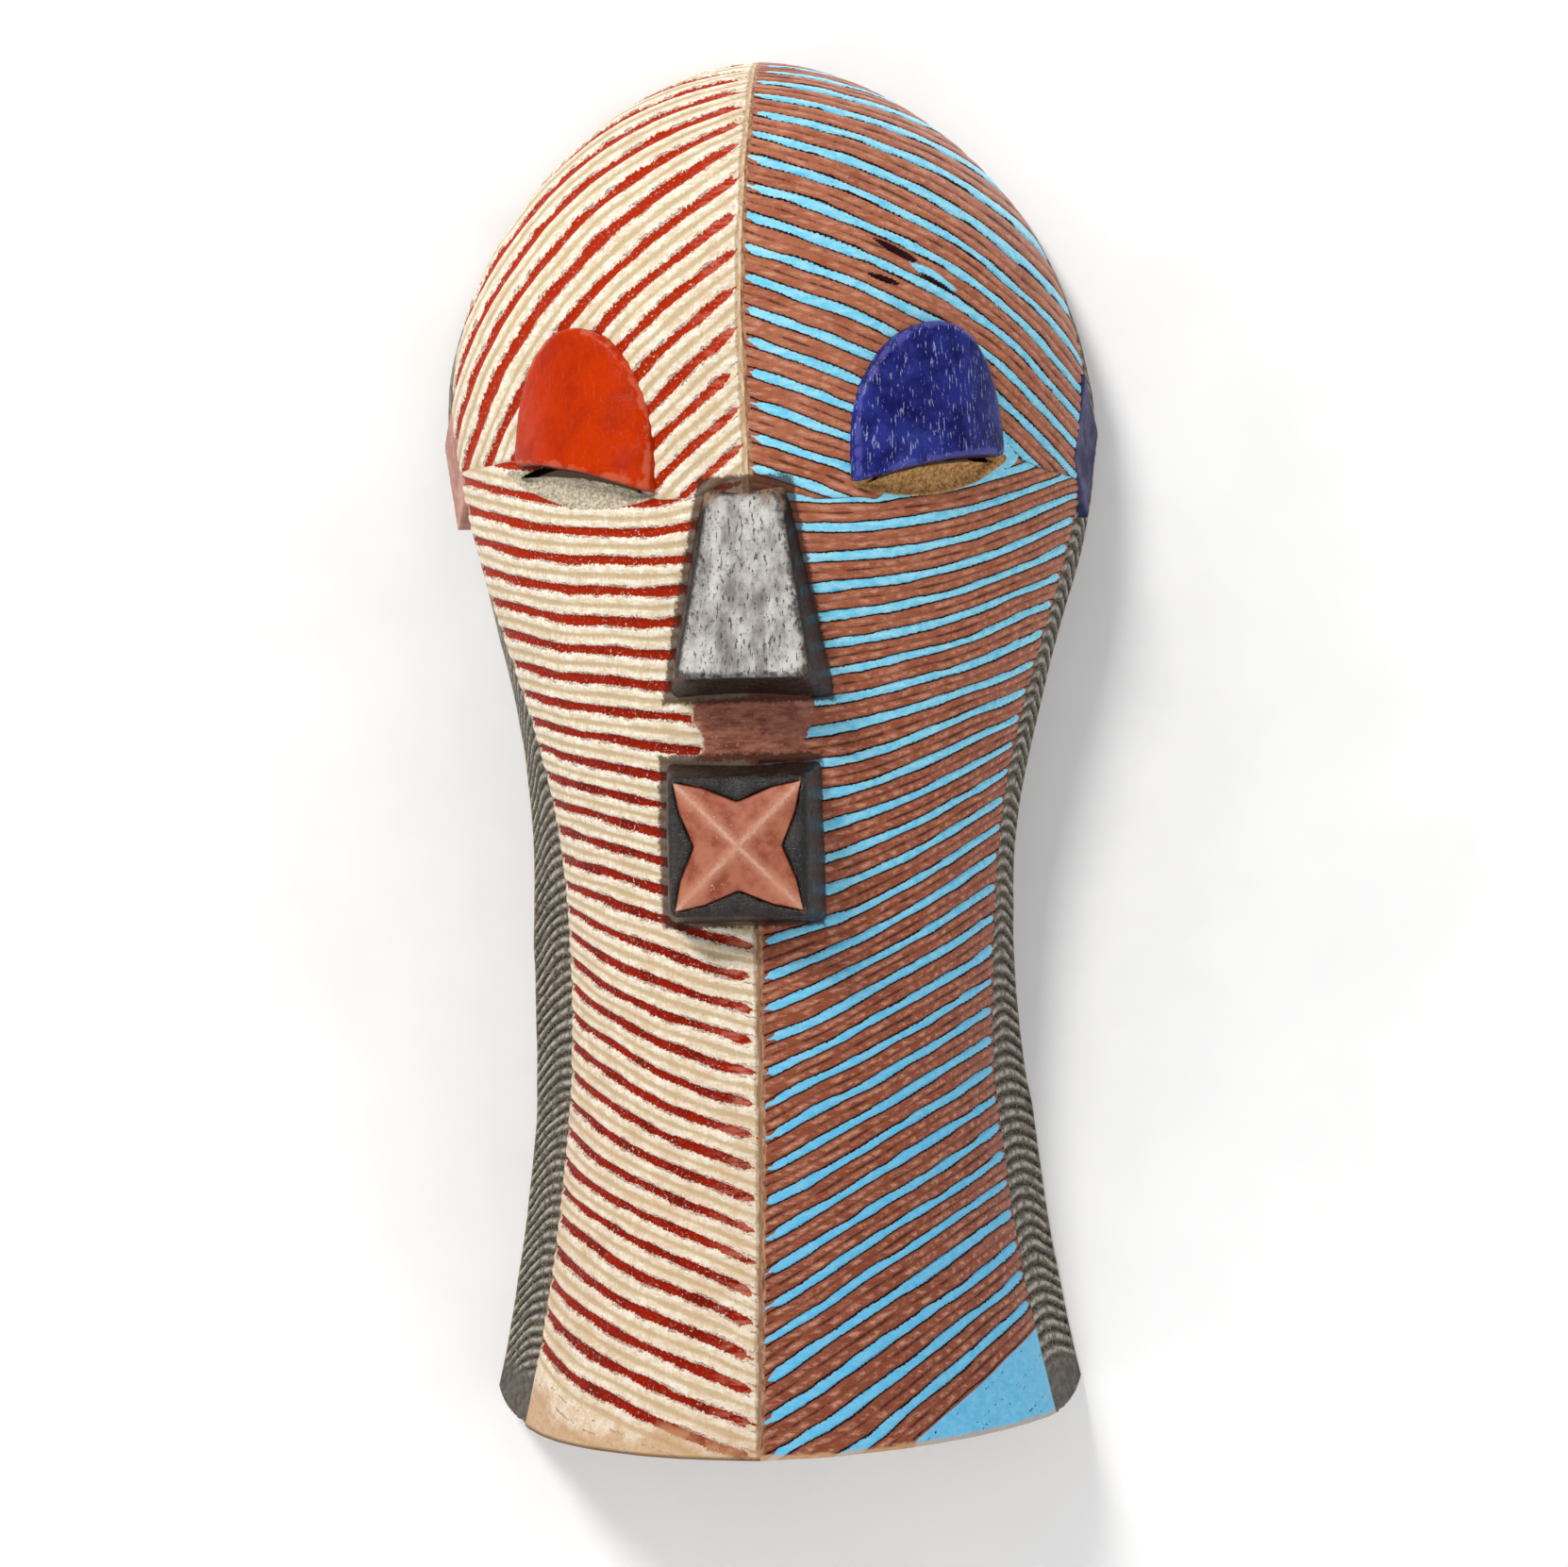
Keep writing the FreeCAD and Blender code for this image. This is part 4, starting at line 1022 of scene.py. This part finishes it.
def grey_band():
    finish = Finish("grey_ribbed_wood")
    streak = finish.noise(2.2, 4.0, 0.7, x=0.5, y=0.5, z=1.6)
    groove = finish.mark("groove")
    worn = 1.0 - groove
    grey = finish.mix(streak.ramp(0.3, 0.7), rgb(78, 72, 64), rgb(128, 122, 112))
    # painted highlight: pale on the crests of the ribs, where worn is near 1
    crest = worn.ramp(0.8, 1.0) * finish.noise(3.0, 3.0).ramp(0.38, 0.58)
    grey = grey.coated(crest, 176, 170, 156)
    # painted shade: near-black in the grooves between the ribs
    grey = grey.coated(groove.ramp(0.25, 0.65, 0.0, 0.95), 30, 24, 18)
    specks = finish.noise(0.9, 3.0, 0.8).ramp(0.54, 0.62) * groove.ramp(0.2, 0.6)
    grey = grey.coated(specks * 0.8, 186, 160, 112)
    grey = grey.coated(finish.mark("plain") * 0.8, 66, 58, 50)
    bump = finish.bump(finish.noise(0.8, 4.0, 0.7), 0.15)
    return finish.done(grey, streak.ramp(0.3, 0.7, 0.38, 0.66), bump)


def raw_wood(name, dark, light):
    """Unpainted wood with long grain up the mask."""
    finish = Finish(name)
    grain = finish.noise(1.6, 5.0, 0.65, z=0.09)
    broad = finish.noise(24.0, 3.0)
    wood = finish.mix(grain.ramp(0.3, 0.7), dark, light)
    wood = finish.mix(broad.ramp(0.4, 0.7, 0.0, 0.4), wood, dark)
    bump = finish.bump(grain, 0.25)
    return finish.done(wood, grain.ramp(0.3, 0.7, 0.62, 0.8), bump)


# Paints of the lids and the ear plates, each as the colours of its deep coat, its face, its rubbed
# edges and its pores, then its roughness and how strongly the pores show.
PAINTS = {
    "orange_red_paint": ((170, 38, 0), (192, 50, 0), (216, 120, 90), (226, 150, 120), 0.26, 0.08),
    "deep_blue_paint": ((14, 16, 80), (42, 50, 130), (104, 104, 190), (168, 170, 214), 0.28, 0.7),
    "pink_paint": ((176, 124, 112), (204, 156, 144), (226, 190, 170), (130, 84, 74), 0.5, 0.6),
    "slate_blue_paint": ((54, 54, 88), (84, 84, 122), (140, 136, 150), (40, 40, 60), 0.45, 0.6),
}


def worn_paint(name):
    """Thick paint over wood, its edges rubbed and its pores showing as short upright ticks."""
    *colours, rough, pore_share = PAINTS[name]
    deep, face, edge, pore = (rgb(*colour) for colour in colours)
    finish = Finish(name)
    broad = finish.noise(9.0, 4.0)
    pores = finish.noise(0.7, 3.0, 0.7, z=0.16)
    colour = finish.mix(broad.ramp(0.35, 0.7), face, deep)
    colour = finish.mix(pores.ramp(0.59, 0.65, 0.0, pore_share), colour, pore)
    rubbed = finish.mark("edge") + finish.noise(4.0, 3.0).ramp(0.3, 0.7, -0.8, 0.2)
    colour = finish.mix(rubbed.ramp(0.3, 0.9, 0.0, 0.4), colour, edge)
    colour = colour.coated(finish.mark("facing").ramp(0.45, 0.1, 0.0, 0.75), 48, 30, 26)
    bump = finish.bump(finish.noise(2.0, 4.0) - pores * 0.4, 0.16)
    return finish.done(colour, broad.ramp(0.3, 0.7, rough - 0.08, rough + 0.12), bump, 0.08)


# On the nose the dust is above one level and on the mouth the blue spots are right of one place.
SIDE_BLACK = rgb(20, 16, 14)
SCRATCH_BLACK = rgb(34, 30, 28)
NO_DUST = 200.0
NO_SPOTS = 200.0


def black_block(name, deep, rubbed, dust_from, blue_from):
    """Glossy black paint rubbed grey in front, on the nose also a painted reflection, with dust above one
    level and spots of blue.
    """
    finish = Finish(name)
    broad = finish.noise(8.0, 4.0)
    patch = finish.noise(3.0, 4.0, 0.7)
    ticks = finish.noise(0.9, 3.0, 0.7, z=0.22)
    scratch = finish.noise(0.7, 3.0, 0.7, x=0.12)
    upright = finish.noise(5.0, 4.0, 0.6, z=0.35)
    front = finish.mix(upright.ramp(0.3, 0.7), deep, rubbed)
    front = finish.mix(patch.ramp(0.5, 0.66, 0.0, 0.3), front, deep)
    front = finish.mix(ticks.ramp(0.57, 0.61, 0.0, 0.85), front, SCRATCH_BLACK)
    front = finish.mix(scratch.ramp(0.66, 0.70, 0.0, 0.6), front, SCRATCH_BLACK)
    border = finish.mark("edge").shaken(patch, 0.25)
    front = finish.mix(border.ramp(0.4, 0.95, 0.0, 0.9), front, SIDE_BLACK)
    sides = finish.mix(patch.ramp(0.5, 0.66, 0.0, 0.7), SIDE_BLACK, rgb(70, 48, 36))
    # the front, which faces the viewer, takes the greyer colours and the sides stay black; on the nose
    # the grey front is a painted reflection
    facing = finish.mark("facing").shaken(patch, 0.02)
    colour = finish.mix(facing.ramp(0.72, 0.95), sides, front)
    crest = finish.mark("edge").ramp(0.7, 1.0) * ticks.ramp(0.5, 0.58)
    colour = colour.coated(crest * 0.55, 132, 92, 66)
    level = finish.place("Z").shaken(broad, 6.0)
    dust = level.ramp(dust_from, dust_from + 8.0)
    dust = dust * ticks.ramp(0.35, 0.55, 0.25, 0.9)
    colour = colour.coated(dust, 158, 128, 104)
    spots = finish.noise(1.6, 3.0, 0.7).ramp(0.63, 0.67)
    spots = spots * finish.place("X").ramp(blue_from, blue_from + 2.0)
    colour = colour.coated(spots * 0.8, 70, 150, 200)
    relief = finish.noise(2.0, 4.0) - (ticks + scratch)
    return finish.done(colour, broad.ramp(0.3, 0.7, 0.2, 0.42), finish.bump(relief, 0.4), 0.38)


def star_paint():
    """Red-brown paint, pale along the ridges of the four arms from wear and a painted highlight, and dark
    along its outline.
    """
    finish = Finish("red_brown_paint")
    broad = finish.noise(6.0, 4.0)
    fine = finish.noise(1.0, 4.0, 0.75)
    x = finish.place("X") - STAR_MIDDLE[0]
    z = finish.place("Z") - STAR_MIDDLE[1]
    off_ridge = finish.math("ABSOLUTE", finish.math("ABSOLUTE", x) - finish.math("ABSOLUTE", z))
    off_ridge = off_ridge.shaken(fine, 0.8)
    colour = finish.mix(broad.ramp(0.35, 0.65), rgb(178, 110, 86), rgb(146, 74, 52))
    # rubbed wear and painted highlight: paler towards the ridge of each arm, palest on the ridge itself
    colour = colour.coated(off_ridge.ramp(0.0, 5.0, 0.6, 0.0), 206, 146, 120)
    ridge_wear_and_highlight = off_ridge.ramp(0.1, 1.5, 0.5, 0.0) * broad.ramp(0.35, 0.6, 0.3, 1.0)
    colour = colour.coated(ridge_wear_and_highlight, 226, 190, 172)
    specks = fine.ramp(0.60, 0.66) * broad.ramp(0.45, 0.6)
    colour = colour.coated(specks * 0.8, 226, 196, 180)
    colour = colour.coated(finish.mark("facing").ramp(0.9, 0.6, 0.0, 0.8), 82, 40, 28)
    return finish.done(colour, broad.ramp(0.3, 0.7, 0.34, 0.5), finish.bump(fine, 0.25))


def zinc():
    finish = Finish("zinc_steel")
    grain = finish.noise(2.5, 4.0, 0.6)
    colour = finish.mix(grain.ramp(0.3, 0.7), rgb(150, 152, 156), rgb(190, 192, 194))
    bump = finish.bump(grain, 0.03)
    return finish.done(colour, grain.ramp(0.3, 0.7, 0.32, 0.5), bump, Metallic=1.0)


def dress(piece, material, slot, *nodes):
    piece.data.materials.clear()
    piece.data.materials.append(material)
    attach(piece, "root")
    if nodes:
        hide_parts(*nodes)


# The pieces

bare = raw_wood("bare_wood", rgb(138, 100, 66), rgb(196, 158, 112))
dark_wood = raw_wood("hollow_wood", rgb(104, 76, 52), rgb(166, 128, 90))
# painted shade: the cut wood inside the sight slits is near-black
slit_wood_in_painted_shade = raw_wood("slit_wood_in_painted_shade", rgb(34, 22, 16), rgb(64, 44, 30))
band_paint = grey_band()
dress(carved_face("left"), cream_and_red(), "painted_wood", "mask_shell")
dress(carved_face("right"), brown_and_blue(), "painted_wood", "mask_shell")
for side_name in SIDES:
    dress(side_band(side_name), band_paint, "painted_wood", "mask_shell")
    dress(slit_wall(side_name), slit_wood_in_painted_shade, "bare_wood", "mask_shell")
dress(back_and_hollow(), dark_wood, "bare_wood", "mask_shell")
dress(chin_edge(), bare, "bare_wood", "mask_shell")

# on the nose the pale grey front is rubbed wear and a painted reflection of the light on glossy black
nose_paint = black_block("black_paint_rubbed_with_painted_reflection", rgb(122, 117, 113), rgb(208, 204, 200), -137.0, NO_SPOTS)
mouth_paint = black_block("black_paint", rgb(14, 12, 12), rgb(50, 47, 45), NO_DUST, 8.0)
fitted = {
    "nose": ("nose_block", nose_paint, "blackened_wood", 0.6, 22, 0.16),
    "mouth": ("mouth_block", mouth_paint, "blackened_wood", 0.55, 12, 0.16),
    "star": ("mouth_star", star_paint(), "red_brown_wood", 0.35, 10, 0.08),
    "lid_left": ("left_eyelid", worn_paint("orange_red_paint"), "orange_red_wood", 0.6, 28, 0.16),
    "lid_right": ("right_eyelid", worn_paint("deep_blue_paint"), "deep_blue_wood", 0.6, 28, 0.18),
    "ear_left": ("left_ear_plate", worn_paint("pink_paint"), "pink_wood", 0.45, 5, 0.10),
    "ear_right": ("right_ear_plate", worn_paint("slate_blue_paint"), "slate_blue_wood", 0.45, 5, 0.10),
}
for piece_name, (node, material, slot, cell, rounds, dent) in fitted.items():
    dress(worn_copy(piece_name, node, cell, rounds, dent), material, slot, node)

for node, material in {
    "nose_pegs": bare,
    "mouth_pegs": bare,
    "hanger_plate": zinc(),
    "hanger_nails": zinc(),
}.items():
    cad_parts[node].data.materials.clear()
    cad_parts[node].data.materials.append(material)


# The stage: a pale wall that only shows from the front, a pale floor, soft light and the camera


def plane(name, width, depth, place, turn):
    half = Vector((width / 2.0, depth / 2.0))
    mesh = bpy.data.meshes.new(name)
    corners = [(-half.x, -half.y, 0), (half.x, -half.y, 0), (half.x, half.y, 0), (-half.x, half.y, 0)]
    mesh.from_pydata(corners, [], [(0, 1, 2, 3)])
    sheet = add_object(name, mesh)
    sheet.location = place
    sheet.rotation_euler = turn
    return sheet


def plaster(name, one_sided):
    finish = Finish(name)
    patches = finish.noise(60.0, 3.0).ramp(0.3, 0.7)
    pale = finish.mix(patches, (0.86, 0.86, 0.86, 1.0), (0.9, 0.9, 0.9, 1.0))
    white = (1.0, 1.0, 1.0, 1.0)
    material = finish.done(pale, 0.9, finish.bump(finish.noise(4.0, 3.0), 0.05), Emission_Color=white)
    if one_sided:
        # a little glow evens the lighting of the wall, but none where the mask covers it
        away = finish.node("ShaderNodeVectorMath", "Value", {0: finish.here}, operation="LENGTH")
        finish.feed(finish.shader.inputs["Emission Strength"], away.ramp(0.06, 0.3, 0.0, 0.16))
        back = finish.node("ShaderNodeNewGeometry", "Backfacing")
        shadow = finish.node("ShaderNodeLightPath", "Is Shadow Ray")
        clear = finish.node("ShaderNodeBsdfTransparent", 0)
        solid = Value(finish, finish.shader.outputs[0])
        hidden = finish.math("MAXIMUM", back, shadow)
        shown = finish.node("ShaderNodeMixShader", 0, {0: hidden, 1: solid, 2: clear})
        finish.feed(finish.tree.nodes["Material Output"].inputs["Surface"], shown)
    return material


def area_light(name, place, aim, size, power, colour):
    light = bpy.data.lights.new(name, "AREA")
    light.shape = "DISK"
    light.size = size
    light.energy = power
    light.color = colour
    lamp = add_object(name, light)
    lamp.location = place
    lamp.rotation_euler = (Vector(aim) - Vector(place)).to_track_quat("-Z", "Y").to_euler()


WALL_BEHIND = 0.0015
FLOOR_DROP = 0.45
low, high = cad_box
middle = (Vector(low) + Vector(high)) / 2.0
wall = plane("wall", 3.0, 3.0, (middle.x, WALL_BEHIND, middle.z), (math.radians(90.0), 0.0, 0.0))
wall.data.materials.append(plaster("pale_wall", True))
floor = plane("floor", 4.0, 4.0, (middle.x, 0.0, low[2] - FLOOR_DROP), (0.0, 0.0, 0.0))
floor.data.materials.append(plaster("pale_floor", False))

area_light("key", (-0.75, -1.35, 0.9), middle, 0.42, 24.0, (1.0, 0.98, 0.95))
area_light("fill", (1.3, -1.5, -0.2), middle, 1.2, 4.5, (0.95, 0.97, 1.0))
area_light("back", (0.6, 1.4, 0.9), middle, 1.2, 14.0, (1.0, 1.0, 1.0))

world = bpy.data.worlds.new("studio")
world.use_nodes = True
background = world.node_tree.nodes["Background"]
background.inputs["Color"].default_value = (0.97, 0.98, 1.0, 1.0)
seen = world.node_tree.nodes.new("ShaderNodeLightPath").outputs["Is Camera Ray"]
brightness = world.node_tree.nodes.new("ShaderNodeMapRange")
brightness.inputs["To Min"].default_value = 0.36  # what lights the mask
brightness.inputs["To Max"].default_value = 0.85  # what the camera sees behind it
world.node_tree.links.new(seen, brightness.inputs["Value"])
world.node_tree.links.new(brightness.outputs["Result"], background.inputs["Strength"])
bpy.context.scene.world = world
bpy.context.scene.view_settings.view_transform = "Standard"

VIEW_DISTANCE = 1.25
CAMERA_ROLL = math.radians(-1.15)
camera_data = bpy.data.cameras.new("camera")
camera_data.lens = 87.2
camera_data.sensor_width = 36.0
camera_data.sensor_fit = "HORIZONTAL"
camera = add_object("camera", camera_data)
camera.location = (0.0019, -VIEW_DISTANCE, -0.2183)
level = Euler((math.radians(90.0), 0.0, 0.0)).to_matrix()
rolled = Euler((0.0, 0.0, CAMERA_ROLL)).to_matrix()
camera.rotation_euler = (level @ rolled).to_euler()
bpy.context.scene.camera = camera
